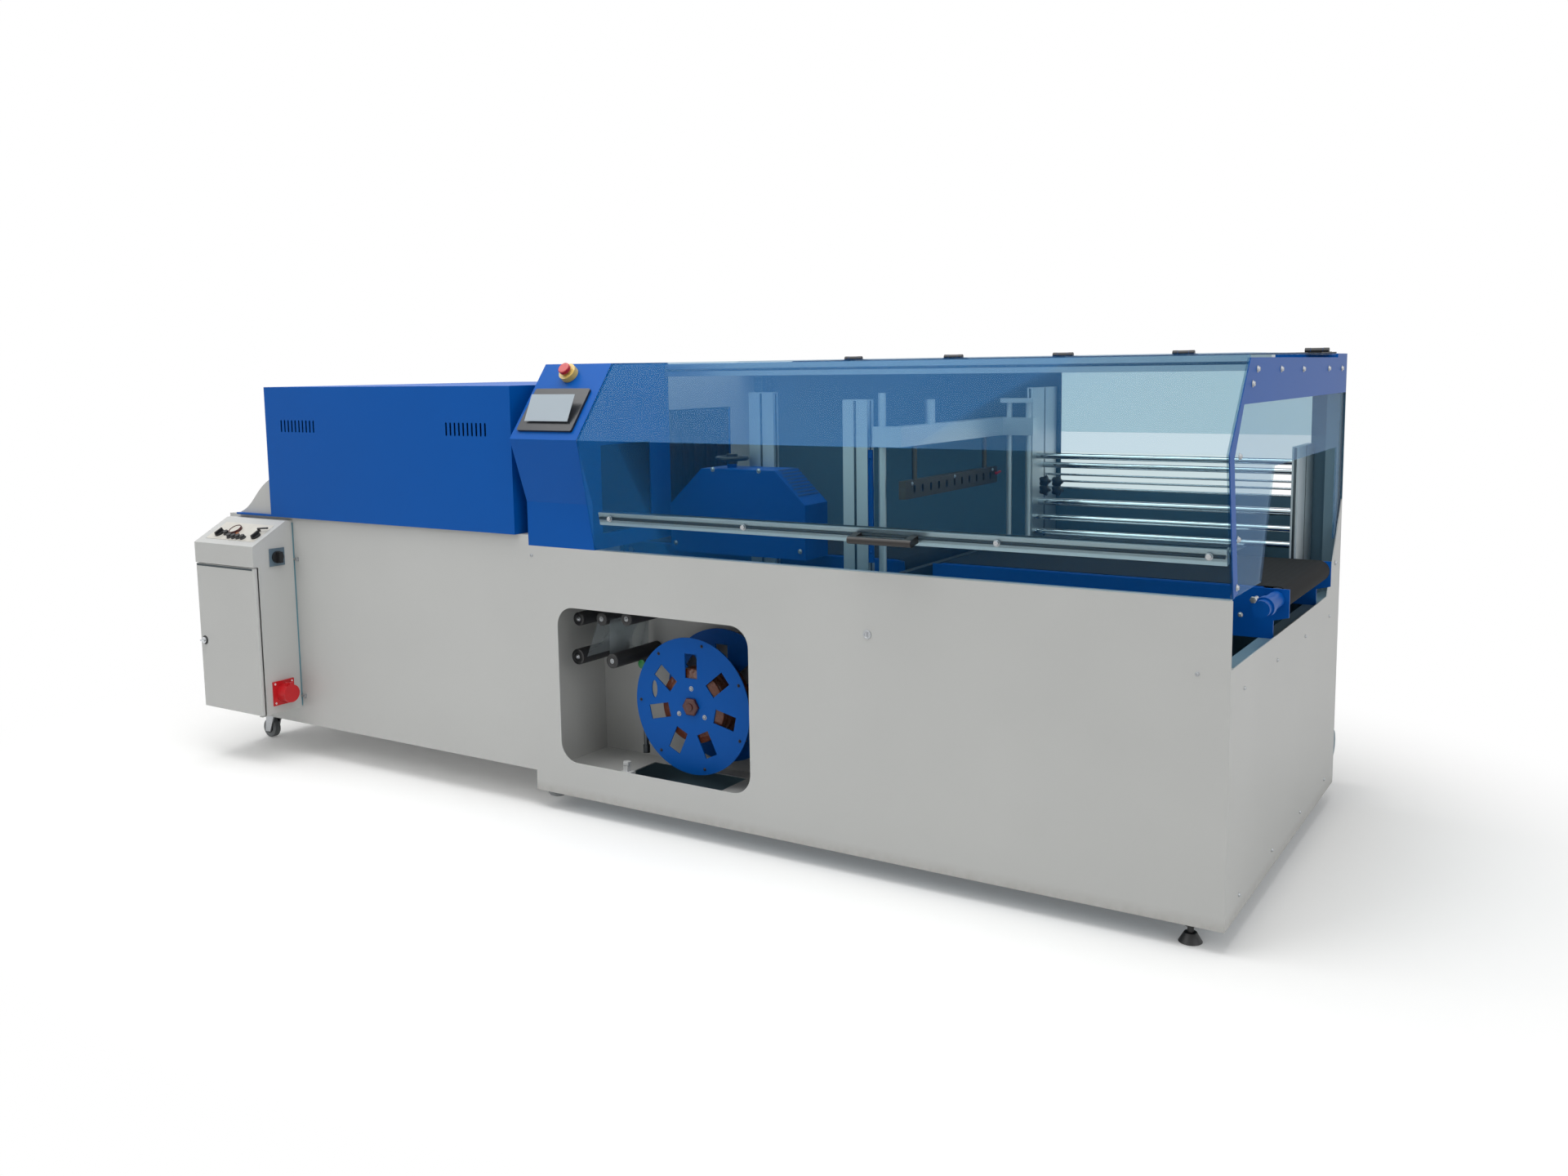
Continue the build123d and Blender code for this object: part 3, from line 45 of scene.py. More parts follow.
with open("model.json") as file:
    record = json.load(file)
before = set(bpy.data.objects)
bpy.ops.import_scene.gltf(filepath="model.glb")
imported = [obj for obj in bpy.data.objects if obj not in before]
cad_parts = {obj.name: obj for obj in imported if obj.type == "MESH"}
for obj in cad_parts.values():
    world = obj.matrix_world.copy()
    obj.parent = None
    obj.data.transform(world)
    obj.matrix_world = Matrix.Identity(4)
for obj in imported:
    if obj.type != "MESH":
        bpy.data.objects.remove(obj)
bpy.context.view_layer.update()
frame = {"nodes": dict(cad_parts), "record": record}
MM = 0.001
X, Y, Z = Vector((1, 0, 0)), Vector((0, 1, 0)), Vector((0, 0, 1))

# Faces of the sealer's cabinet and of the electric box, in millimetres
FRONT, REAR, INFEED_END = -693.35, 675.65, 1895
BOX_SIDE = -1535
PANEL_FOOT, PANEL_HEAD = Vector((0, -868.35, 820)), Vector((0, -723.35, 900))

# Viewpoint, with its yaw, pitch and roll in degrees
CAMERA_PLACE = (2.6659, -3.84245, 1.4357)
CAMERA_TURN = (32.1383, 6.7506, -0.7582)
CAMERA_LENS, CAMERA_SHIFT = 30.415, (-0.00886, -0.03997)

# Light: strength of the world on the object, glow of the floor as seen, and the lamps, each with
# its place, aim, width, depth and watts
WORLD_LIGHT, FLOOR_GLOW = 0.40, 0.12
LAMPS = (
    ("Overhead softbox", (-0.3, -0.8, 4.6), (-0.1, 0, 0.8), 6.0, 3.5, 205),
    ("Operator side softbox", (-2.5, -5.5, 5.0), (0, 0, 0.9), 4.0, 3.0, 76),
    ("Infeed side softbox", (6.0, -1.8, 2.6), (0.8, 0, 0.8), 3.0, 2.5, 46),
)


def linear(hex_colour):
    """An sRGB hex colour as linear red, green and blue."""
    parts = [int(hex_colour[i:i + 2], 16) / 255 for i in (1, 3, 5)]
    return tuple(c / 12.92 if c <= 0.04045 else ((c + 0.055) / 1.055) ** 2.4 for c in parts)


def rgba(colour):
    return (*tuple(colour)[:3], 1.0)


WHITE = rgba((1, 1, 1))


def per_metre(size_mm):
    """The texture scale that repeats about once in size_mm."""
    return 1000 / size_mm


# Values that a user would change

class SealerColours(PropertyGroup):
    """Colours of the finishes"""

    def paint(label, help_text, hex_colour):
        return FloatVectorProperty(
            name=label, description=help_text, subtype="COLOR", size=3, min=0, max=1,
            default=linear(hex_colour),
        )

    cabinet: paint("Cabinet", "Powder coat of the cabinets and the electric box", "#bfc0be")
    machine_blue: paint("Machine blue", "Powder coat of the console, the covers and the reel", "#0052a4")
    frame_grey: paint("Frame grey", "Paint of the inner frames", "#6f8794")
    hood_tint: paint("Hood tint", "Light left after each face of a clear sheet", "#e7f0f1")
    hood_body: paint("Hood body", "Body colour of the clear sheets", "#1a8fe0")
    profile: paint("Profile", "Anodised aluminium profiles", "#ccd4d8")
    steel: paint("Steel", "Ground steel parts", "#b4b7ba")
    chrome: paint("Chrome", "Chromed rods", "#d8dbde")
    jaw: paint("Jaw", "Coated sealing jaws", "#5f574a")
    belt: paint("Belt", "Conveyor belts", "#1c1d1f")
    stop_red: paint("Stop red", "Mushroom head of the emergency stop", "#b3262a")
    stop_yellow: paint("Stop yellow", "Collar of the emergency stop", "#d0b667")
    inlet_red: paint("Inlet red", "Power inlet and its lid", "#c41a22")
    curtain: paint("Curtain", "Heat curtains of the tunnel", "#1c1513")


class SealerSizes(PropertyGroup):
    """Sizes of the fittings"""

    def length(label, help_text, millimetres):
        return FloatProperty(
            name=label, description=help_text, default=millimetres * MM, min=0,
            unit="LENGTH", subtype="DISTANCE",
        )

    small_screw: length("Small screw", "Head diameter of the screws on small parts", 8)
    panel_screw: length("Panel screw", "Head diameter of the cabinets' screws", 9)
    cover_screw: length("Cover screw", "Head diameter of the screws on covers and rollers", 12)
    shield_screw: length("Shield screw", "Head diameter of the screws in the end shield", 13)
    rail_bolt: length("Rail bolt", "Diameter of the bolt heads on the hood's rail", 15)
    edge_round: length("Edge rounding", "Rounding of the edges of turned and cut parts", 0.6)
    peel: length("Orange peel", "Spacing of the ripples in the powder coat", 3)
    groove: length("Profile groove", "Width of the grooves in the aluminium profiles", 8)


def colours():
    return bpy.context.scene.sealer_colours


def size(name):
    """A size from the panel, in millimetres."""
    return getattr(bpy.context.scene.sealer_sizes, name) / MM


# Materials

def add(tree, kind, settings=None, links=None):
    """Adds a node, sets its attributes and sockets, and links sources into its sockets."""
    made = tree.nodes.new(kind)
    for key, value in (settings or {}).items():
        if isinstance(key, int) or key in made.inputs:
            made.inputs[key].default_value = value
        else:
            setattr(made, key, value)
    for key, source in (links or {}).items():
        tree.links.new(source, made.inputs[key])
    return made


def started(name):
    """A new material with its output, a shader and the piece's own coordinates."""
    made = bpy.data.materials.new(name)
    made.use_nodes = True
    tree = made.node_tree
    tree.nodes.clear()
    output = add(tree, "ShaderNodeOutputMaterial")
    shader = add(tree, "ShaderNodeBsdfPrincipled")
    tree.links.new(shader.outputs[0], output.inputs["Surface"])
    place = add(tree, "ShaderNodeTexCoord").outputs["Object"]
    return made, tree, shader, place


def surfaced(tree, shader):
    """Takes the surface from that shader."""
    output = next(node for node in tree.nodes if node.type == "OUTPUT_MATERIAL")
    tree.links.new(shader.outputs[0], output.inputs["Surface"])


def toned(tree, shader, factor, colour, darker):
    """Base colour that drifts between the colour and a darker share of it."""
    low = tuple(c * darker for c in tuple(colour)[:3])
    blend = add(tree, "ShaderNodeMix", {"data_type": "RGBA", 6: rgba(low), 7: rgba(colour)},
                {0: factor})
    tree.links.new(blend.outputs[2], shader.inputs["Base Color"])
    return blend


def roughened(tree, shader, height, depth_mm):
    """Bump of that depth from a pattern."""
    bump = add(tree, "ShaderNodeBump", {"Strength": 1.0, "Distance": depth_mm * MM},
               {"Height": height})
    tree.links.new(bump.outputs[0], shader.inputs["Normal"])


def powder_coat(name, colour, dusty=False, inside=None, gloss=0.25):
    # Powder coated sheet steel, sprayed and baked: satin, with a fine orange peel that breaks up
    # the highlights, and a slow drift of tone over each large sheet.
    made, tree, shader, place = started(name)
    drift = add(tree, "ShaderNodeTexNoise", {"Scale": per_metre(450), "Detail": 2.0},
                {"Vector": place})
    blend = toned(tree, shader, drift.outputs["Fac"], colour, 0.9)
    if dusty:
        # Floor dust and scuffs on the lowest 40 mm of the sheets.
        height = add(tree, "ShaderNodeSeparateXYZ", {}, {0: place}).outputs["Z"]
        low = add(tree, "ShaderNodeMapRange", {"From Min": 0.055, "From Max": 0.095, "To Min": 0.45,
                                               "To Max": 0.0}, {"Value": height})
        specks = add(tree, "ShaderNodeTexNoise", {"Scale": per_metre(25), "Detail": 6.0},
                     {"Vector": place})
        both = add(tree, "ShaderNodeMath", {"operation": "MULTIPLY"},
                   {0: low.outputs[0], 1: specks.outputs["Fac"]})
        dirt = add(tree, "ShaderNodeMix", {"data_type": "RGBA", 7: rgba(linear("#6b5a48"))},
                   {0: both.outputs[0], 6: blend.outputs[2]})
        tree.links.new(dirt.outputs[2], shader.inputs["Base Color"])
    if inside:
        # Painted shade: the side that faces into the cabinet, short of that many metres, is coloured a
        # darker blue grey for the dimmer light inside.
        way_back = add(tree, "ShaderNodeSeparateXYZ", {}, {0: place}).outputs["Y"]
        inner = add(tree, "ShaderNodeMath", {"operation": "LESS_THAN", 1: inside}, {0: way_back})
        two = add(tree, "ShaderNodeMix", {"data_type": "RGBA", 7: rgba(linear("#4f6c7c"))},
                  {0: inner.outputs[0], 6: shader.inputs["Base Color"].links[0].from_socket})
        tree.links.new(two.outputs[2], shader.inputs["Base Color"])
    # The peel is 3 mm, which a full render just shows.
    peel = add(tree, "ShaderNodeTexNoise", {"Scale": per_metre(size("peel")), "Detail": 1.0},
               {"Vector": place})
    roughened(tree, shader, peel.outputs["Fac"], 0.05)
    shader.inputs["Roughness"].default_value = 0.42
    shader.inputs["Specular IOR Level"].default_value = gloss
    return made


def drawn_metal(name, colour, roughness, stretch, line_mm=1.2, depth_mm=0.02):
    # Drawn, ground or extruded metal: fine lines along the way it was worked, so highlights
    # spread across the lines. The lines are 0.1 mm in reality and are drawn coarser to show.
    made, tree, shader, place = started(name)
    along = add(tree, "ShaderNodeMapping", {"Scale": stretch}, {"Vector": place})
    lines = add(tree, "ShaderNodeTexNoise", {"Scale": per_metre(line_mm), "Detail": 3.0},
                {"Vector": along.outputs[0]})
    toned(tree, shader, lines.outputs["Fac"], colour, 0.8)
    rough = add(tree, "ShaderNodeMapRange", {"To Min": roughness * 0.7, "To Max": roughness * 1.3},
                {"Value": lines.outputs["Fac"]})
    tree.links.new(rough.outputs[0], shader.inputs["Roughness"])
    roughened(tree, shader, lines.outputs["Fac"], depth_mm)
    shader.inputs["Metallic"].default_value = 1.0
    return made


def moulded_plastic(name, colour, roughness, grain_mm=1.0, depth_mm=0.03):
    # Injection moulded plastic: the mould's spark-eroded grain gives a soft, even sheen.
    # The grain is 0.3 mm in reality and is drawn coarser to show.
    made, tree, shader, place = started(name)
    grain = add(tree, "ShaderNodeTexVoronoi", {"Scale": per_metre(grain_mm)}, {"Vector": place})
    drift = add(tree, "ShaderNodeTexNoise", {"Scale": per_metre(40), "Detail": 2.0},
                {"Vector": place})
    toned(tree, shader, drift.outputs["Fac"], colour, 0.85)
    roughened(tree, shader, grain.outputs["Distance"], depth_mm)
    shader.inputs["Roughness"].default_value = roughness
    return made


def belt_cloth(name, colour, pitch_mm, roughness):
    # Woven belt coated with PVC: the cloth's weave prints through the coating as a fine check.
    made, tree, shader, place = started(name)
    check = []
    for axis in ("X", "Y"):
        # A wave texture repeats 20 times as often as its scale says.
        settings = {"bands_direction": axis, "Scale": per_metre(pitch_mm) / 20, "Distortion": 0.4,
                    "Detail": 1.0}
        wave = add(tree, "ShaderNodeTexWave", settings, {"Vector": place})
        check.append(wave.outputs["Fac"])
    both = add(tree, "ShaderNodeMath", {"operation": "MULTIPLY"}, {0: check[0], 1: check[1]})
    toned(tree, shader, both.outputs[0], colour, 0.7)
    roughened(tree, shader, both.outputs[0], 0.2)
    shader.inputs["Roughness"].default_value = roughness
    shader.inputs["Specular IOR Level"].default_value = 0.15
    return made


def clear_sheet(name, tint, body, veil, haze, roughness=0.03):
    # Cast acrylic or blown film: light goes through tinted, and a slanting look meets a mirror.
    made, tree, shader, place = started(name)
    acrylic_ior = 1.49
    smear = add(tree, "ShaderNodeTexNoise", {"Scale": per_metre(260), "Detail": 3.0},
                {"Vector": place})
    toned(tree, shader, smear.outputs["Fac"], body, 0.85)
    shader.inputs["Roughness"].default_value = roughness
    shader.inputs["IOR"].default_value = acrylic_ior
    through = add(tree, "ShaderNodeBsdfTransparent", {"Color": rgba(tint)})
    edge = add(tree, "ShaderNodeFresnel", {"IOR": acrylic_ior})
    # The stretches that look up carry a haze of reflected light, and the upright ones are clearer.
    facing = add(tree, "ShaderNodeTexCoord").outputs["Normal"]
    upward = add(tree, "ShaderNodeSeparateXYZ", {}, {0: facing}).outputs["Z"]
    base = add(tree, "ShaderNodeMapRange", {"From Min": 0.1, "From Max": 0.35, "To Min": veil,
                                            "To Max": haze}, {"Value": upward})
    share = add(tree, "ShaderNodeMath", {"operation": "MULTIPLY_ADD", 1: 0.3},
                {0: edge.outputs[0], 2: base.outputs[0]})
    sheet = add(tree, "ShaderNodeMixShader", {}, {0: share.outputs[0], 1: through.outputs[0],
                                                  2: shader.outputs[0]})
    surfaced(tree, sheet)
    return made


def lit_screen(name, colour):
    # Touch screen behind glass: an even pale picture area that glows a little.
    made, tree, shader, place = started(name)
    haze = add(tree, "ShaderNodeTexNoise", {"Scale": per_metre(120), "Detail": 1.0},
               {"Vector": place})
    blend = toned(tree, shader, haze.outputs["Fac"], colour, 0.93)
    tree.links.new(blend.outputs[2], shader.inputs["Emission Color"])
    shader.inputs["Emission Strength"].default_value = 0.12
    shader.inputs["Roughness"].default_value = 0.12
    return made


# Mouldings of one colour: key, name, colour, roughness and, where it isn't the usual, grain and depth
MOULDINGS = (
    ("wound", "Polyolefin film, wound", "#cfd8dc", 0.25, 4, 0.15),
    ("scrap", "Polyolefin trim, wound loosely", "#5a2a12", 0.3, 9, 1.2),
    ("groove", "Profile groove, in shade", "#2e3a40", 0.6),
    ("edge_trim", "PVC edge trim, extruded teal", "#5d8b99", 0.45),
    ("sleeve", "Nitrile rubber sleeve, ground", "#26272a", 0.6),
    ("black", "Glass filled nylon, moulded black", "#17181a", 0.42),
    ("dark_lacquer", "Steel handle, leather brown lacquer", "#171210", 0.35),
    ("bezel", "ABS bezel, moulded dark grey", "#24272b", 0.3),
    ("tyre", "Polyurethane tyre, cast grey", "#6a6e70", 0.5),
    ("white", "Polyamide, moulded white", "#e4e6e6", 0.4),
    ("green", "Polyamide, moulded green", "#1f7a3c", 0.4),
    ("switch_plate", "ABS, moulded blue grey", "#5b6f7d", 0.4),
    ("hub", "Phenolic resin, moulded red brown", "#4a201c", 0.35),
    ("amber", "Acrylic lens, moulded amber", "#8a4a12", 0.2),
    ("dial", "Enamelled dial, pale", "#c9c6bd", 0.3),
)
FINISHES = {}


def finish(name):
    """The finish of that name, made once."""
    if not FINISHES:
        c = colours()
        # Stretch of a metal's lines along x, along z, and for turned parts.
        along_x, upright, round_all = (0.02, 1, 1), (1, 1, 0.02), (0.3, 0.3, 0.3)
        inner_face = (REAR - 1.15) * MM
        FINISHES.update({
            "cabinet": powder_coat("Powder coated steel, light grey", c.cabinet, dusty=True),
            # The rear panel carries painted shade on its inside.
            "rear": powder_coat("Powder coated steel, light grey, with painted shade inside", c.cabinet, True,
                                inner_face),
            "blue": powder_coat("Powder coated steel, blue", c.machine_blue, gloss=0.12),
            "frame": powder_coat("Painted steel tube, grey", c.frame_grey),
            "acrylic": clear_sheet("Cast acrylic sheet, sky blue", c.hood_tint, c.hood_body, 0.016,
                                   0.05),
            "film": clear_sheet("Blown polyolefin film, clear", linear("#f6f9fa"), linear("#dfe8ec"),
                                0.08, 0.08, 0.12),
            "profile": drawn_metal("Aluminium, extruded and anodised, lying", c.profile, 0.34, along_x),
            "post": drawn_metal("Aluminium, extruded and anodised, upright", c.profile, 0.5, upright),
            "steel": drawn_metal("Steel, ground", c.steel, 0.3, round_all),
            "chrome": drawn_metal("Steel, hard chromed and polished", c.chrome, 0.09, along_x, 2, 0.004),
            "jaw": drawn_metal("Aluminium, coated with baked lacquer", c.jaw, 0.42, (1, 0.02, 1)),
            "belt": belt_cloth("PVC coated belt, matt", c.belt, 3, 0.8),
            "curtain": belt_cloth("Silicone coated glass cloth", c.curtain, 4, 0.7),
            "dark_steel": drawn_metal("Steel, blackened", linear("#54585b"), 0.38, upright),
            "screen": lit_screen("Touch screen glass over its panel", linear("#98a3ab")),
            "yellow": moulded_plastic("Nylon, moulded yellow", c.stop_yellow, 0.3),
            "red": moulded_plastic("Nylon, moulded signal red", c.stop_red, 0.28),
            "inlet": moulded_plastic("Polyamide, moulded inlet red", c.inlet_red, 0.33),
        })
        for key, label, colour, *surface in MOULDINGS:
            FINISHES[key] = moulded_plastic(label, linear(colour), *surface)
    return FINISHES[name]


SLOT_FINISH = {
    "light_grey_paint": "cabinet", "blue_paint": "blue", "frame_grey": "frame", "clear_blue": "acrylic",
    "rail_metal": "profile", "bright_steel": "steel", "rod_chrome": "chrome", "belt_black": "belt",
    "roller_rubber": "sleeve", "black_plastic": "black", "screen_black": "bezel",
    "yellow_plastic": "yellow", "red_plastic": "inlet", "curtain_brown": "curtain",
    "film_clear": "wound", "jaw_metal": "jaw", "wheel_grey": "tyre",
}
# Nodes whose finish is worked another way than the rest of their slot.
NODE_FINISH = {
    "inner_posts": "post", "stop_button": "red", "door_handle": "dark_lacquer", "jaw_columns": "post",
    "sealer_rear_panel": "rear", "dancer_arm": "dark_steel",
}


# Shapes

def round_shape(angle):
    return 1.0


def hexagon(angle):
    sixth = math.pi / 3
    return math.cos(sixth / 2) / math.cos(angle % sixth - sixth / 2)


def five_lobes(angle):
    return 1 + 0.14 * math.cos(5 * angle)


class Shape:
    """Collects solids in millimetres and becomes one piece that rides on a body."""

    def __init__(self):
        self.mesh = bmesh.new()

    def prism(self, outline, along):
        """A flat outline pushed along a vector."""
        start = [self.mesh.verts.new(Vector(point)) for point in outline]
        end = [self.mesh.verts.new(Vector(point) + Vector(along)) for point in outline]
        self.mesh.faces.new(start[::-1])
        self.mesh.faces.new(end)
        for i in range(len(start)):
            j = (i + 1) % len(start)
            self.mesh.faces.new((start[i], start[j], end[j], end[i]))
        return self

    def block(self, low, high):
        (a, b, c), (d, e, f) = low, high
        return self.prism([(a, b, c), (d, b, c), (d, e, c), (a, e, c)], (0, 0, f - c))

    def turned(self, base, axis, profile, sides=28):
        """Rings of (radius, height) or (radius, height, shape) about an axis from the base."""
        turn = Vector(axis).to_track_quat("Z", "Y").to_matrix()
        rings = []
        for radius, height, *shape in profile:
            form = shape[0] if shape else round_shape
            count = sides if radius else 1
            ring = []
            for i in range(count):
                angle = 2 * math.pi * i / sides
                r = radius * form(angle)
                spot = turn @ Vector((r * math.cos(angle), r * math.sin(angle), height))
                ring.append(self.mesh.verts.new(Vector(base) + spot))
            rings.append(ring)
        for low, high in zip(rings, rings[1:]):
            for i in range(sides):
                j = (i + 1) % sides
                if len(low) == 1:
                    self.mesh.faces.new((low[0], high[i], high[j]))
                elif len(high) == 1:
                    self.mesh.faces.new((low[i], low[j], high[0]))
                else:
                    self.mesh.faces.new((low[i], low[j], high[j], high[i]))
        if len(rings[0]) > 1:
            self.mesh.faces.new(rings[0][::-1])
        if len(rings[-1]) > 1:
            self.mesh.faces.new(rings[-1])
        return self

    def rod(self, start, end, radius, sides=20):
        along = Vector(end) - Vector(start)
        return self.turned(start, along, [(radius, 0), (radius, along.length)], sides)

    def screw(self, base, axis, head):
        """A button head screw with a hexagon socket on its washer."""
        r = head / 2
        return self.turned(base, axis, [
            (r * 1.35, 0), (r * 1.35, r * 0.2), (r, r * 0.2), (r * 0.97, r * 0.6), (r * 0.7, r * 0.95),
            (r * 0.5, r, hexagon), (r * 0.45, r * 0.45, hexagon), (0, r * 0.4),
        ], 24)

    def bolt(self, base, axis, head):
        """A hexagon bolt on its washer."""
        r = head / 2
        return self.turned(base, axis, [(r * 1.3, 0), (r * 1.3, r * 0.18), (r, r * 0.18, hexagon),
                                        (r, r * 0.85, hexagon), (r * 0.85, r, round_shape), (0, r)], 24)

    def piece(self, name, body, slot, material, rounding=None):
        """Ends the shape: the named piece in its finish, riding on its body."""
        bmesh.ops.recalc_face_normals(self.mesh, faces=self.mesh.faces)
        bmesh.ops.scale(self.mesh, vec=(MM, MM, MM), verts=self.mesh.verts)
        data = bpy.data.meshes.new(name)
        self.mesh.to_mesh(data)
        self.mesh.free()
        for face in data.polygons:
            face.use_smooth = True
        made = bpy.data.objects.new(name, data)
        bpy.context.scene.collection.objects.link(made)
        data.materials.append(finish(material))
        edges = made.modifiers.new("Rounded edges", "BEVEL")
        edges.width = (size("edge_round") if rounding is None else rounding) * MM
        edges.segments = 2
        edges.limit_method = "ANGLE"
        edges.angle_limit = math.radians(35)
        edges.harden_normals = True
        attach(made, body)
        return made


def box(node):
    """Low and high corners of a CAD node, in millimetres."""
    return [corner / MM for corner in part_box(node)]


def solids_of(node):
    """Low and high corners, in millimetres, of each separate solid in a CAD node."""
    data = frame["nodes"][node].data
    places = {}
    spot = [places.setdefault(tuple(round(c, 5) for c in v.co), len(places)) for v in data.vertices]
    parent = list(range(len(places)))

    def root(i):
        while parent[i] != i:
            parent[i] = parent[parent[i]]
            i = parent[i]
        return i

    for a, b in (edge.vertices for edge in data.edges):
        parent[root(spot[a])] = root(spot[b])
    groups = {}
    for place, i in places.items():
        groups.setdefault(root(i), []).append(place)
    return sorted(
        ([min(p[k] for p in g) / MM for k in range(3)], [max(p[k] for p in g) / MM for k in range(3)])
        for g in groups.values()
    )


def grooves(shape, low, high, along):
    """Lines of dark slot on the four long sides of a square profile, painted as the shade in the slots.
    """
    half, proud, margin = size("groove") / 2, 0.35, 3
    others = [k for k in range(3) if k != along]
    for across, out in (others, others[::-1]):
        if high[across] - low[across] < 4 * half:
            continue
        for side, face in ((-1, low[out]), (1, high[out])):
            a, b = [0] * 3, [0] * 3
            a[along], b[along] = low[along] + margin, high[along] - margin
            middle = (low[across] + high[across]) / 2
            a[across], b[across] = middle - half, middle + half
            a[out], b[out] = sorted((face, face + side * proud))
            shape.block(a, b)
    return shape


# Operators

class SEALER_OT_stage(Operator):
    """Sets the floor, the backdrop, the lamps and the camera"""
    bl_idname = "sealer.stage"
    bl_label = "Set the stage"

    def execute(self, context):
        scene = context.scene
        scene.view_settings.view_transform = "Standard"
        self.camera(scene)
        self.surroundings(scene)
        self.lamps(scene)
        return {"FINISHED"}

    def camera(self, scene):
        data = bpy.data.cameras.new("Camera")
        data.lens, data.sensor_width, data.sensor_fit = CAMERA_LENS, 36, "HORIZONTAL"
        data.shift_x, data.shift_y = CAMERA_SHIFT
        data.clip_end = 200
        made = bpy.data.objects.new("Camera", data)
        yaw, pitch, roll = (math.radians(a) for a in CAMERA_TURN)
        ahead = Vector((-math.sin(yaw) * math.cos(pitch), math.cos(yaw) * math.cos(pitch),
                        -math.sin(pitch)))
        level = Vector((math.cos(yaw), math.sin(yaw), 0))
        above = level.cross(ahead)
        right = math.cos(roll) * level + math.sin(roll) * above
        up = -math.sin(roll) * level + math.cos(roll) * above
        turn = Matrix((right, up, -ahead)).transposed().to_4x4()
        made.matrix_world = Matrix.Translation(CAMERA_PLACE) @ turn
        scene.collection.objects.link(made)
        scene.camera = made

    def surroundings(self, scene):
        # White studio: rays that end in the picture, a gloss or a clear sheet meet plain white,
        # and the rest light the object softly.
        world = bpy.data.worlds.new("Studio")
        world.use_nodes = True
        tree = world.node_tree
        tree.nodes.clear()
        seen = self.seen(tree)
        level = add(tree, "ShaderNodeMapRange", {"To Min": WORLD_LIGHT, "To Max": 1.0}, {"Value": seen})
        light = add(tree, "ShaderNodeBackground", {"Color": WHITE}, {"Strength": level.outputs[0]})
        add(tree, "ShaderNodeOutputWorld", {}, {"Surface": light.outputs[0]})
        scene.world = world
        # Painted floor, matt: it keeps the machine's shadow and runs out into the white backdrop.
        made, tree, shader, place = started("Matt white floor paint")
        drift = add(tree, "ShaderNodeTexNoise", {"Scale": per_metre(900)}, {"Vector": place})
        toned(tree, shader, drift.outputs["Fac"], linear("#f4f4f3"), 0.985)
        shader.inputs["Roughness"].default_value = 0.8
        shader.inputs["Specular IOR Level"].default_value = 0.1
        spread = add(tree, "ShaderNodeMapping", {"Scale": (0.30, 0.42, 0)}, {"Vector": place})
        distance = add(tree, "ShaderNodeVectorMath", {"operation": "LENGTH"}, {0: spread.outputs[0]})
        far = add(tree, "ShaderNodeMapRange", {"From Min": 0.62, "From Max": 1.0,
                                               "interpolation_type": "SMOOTHSTEP"},
                  {"Value": distance.outputs["Value"]})
        share = add(tree, "ShaderNodeMath", {"operation": "MULTIPLY"},
                    {0: far.outputs[0], 1: self.seen(tree)})
        white = add(tree, "ShaderNodeEmission", {"Color": WHITE, "Strength": 1.0})
        # Near the machine the paint is lifted a little, as under a studio's wide light.
        lift = add(tree, "ShaderNodeMath", {"operation": "MULTIPLY", 1: FLOOR_GLOW},
                   {0: self.seen(tree)})
        glow = add(tree, "ShaderNodeEmission", {"Color": WHITE}, {"Strength": lift.outputs[0]})
        near = add(tree, "ShaderNodeAddShader", {}, {0: shader.outputs[0], 1: glow.outputs[0]})
        both = add(tree, "ShaderNodeMixShader", {}, {0: share.outputs[0], 1: near.outputs[0],
                                                     2: white.outputs[0]})
        surfaced(tree, both)
        data = bpy.data.meshes.new("studio_floor")
        reach, below = 60, -0.001
        corners = [(x * reach, y * reach, below) for x, y in ((-1, -1), (1, -1), (1, 1), (-1, 1))]
        data.from_pydata(corners, [], [(0, 1, 2, 3)])
        floor = bpy.data.objects.new("studio_floor", data)
        data.materials.append(made)
        scene.collection.objects.link(floor)

    def seen(self, tree):
        """1 for rays from the camera, a gloss or a clear sheet, else 0."""
        path = add(tree, "ShaderNodeLightPath")
        first = add(tree, "ShaderNodeMath", {"operation": "MAXIMUM"},
                    {0: path.outputs["Is Camera Ray"], 1: path.outputs["Is Glossy Ray"]})
        both = add(tree, "ShaderNodeMath", {"operation": "MAXIMUM"},
                   {0: first.outputs[0], 1: path.outputs["Is Transmission Ray"]})
        return both.outputs[0]

    def lamps(self, scene):
        for name, place, aim, width, depth, watts in LAMPS:
            data = bpy.data.lights.new(name, "AREA")
            data.shape, data.size, data.size_y, data.energy = "RECTANGLE", width, depth, watts
            made = bpy.data.objects.new(name, data)
            made.location = place
            made.rotation_euler = (Vector(place) - Vector(aim)).to_track_quat("Z", "Y").to_euler()
            scene.collection.objects.link(made)


class SEALER_OT_finishes(Operator):
    """Gives every CAD node its finish"""
    bl_idname = "sealer.finishes"
    bl_label = "Finish the CAD nodes"

    def execute(self, context):
        for part in frame["record"]["subparts"]:
            node = part["node"]
            data = frame["nodes"][node].data
            data.materials.clear()
            data.materials.append(finish(NODE_FINISH.get(node, SLOT_FINISH[part["material_slot"]])))
        return {"FINISHED"}


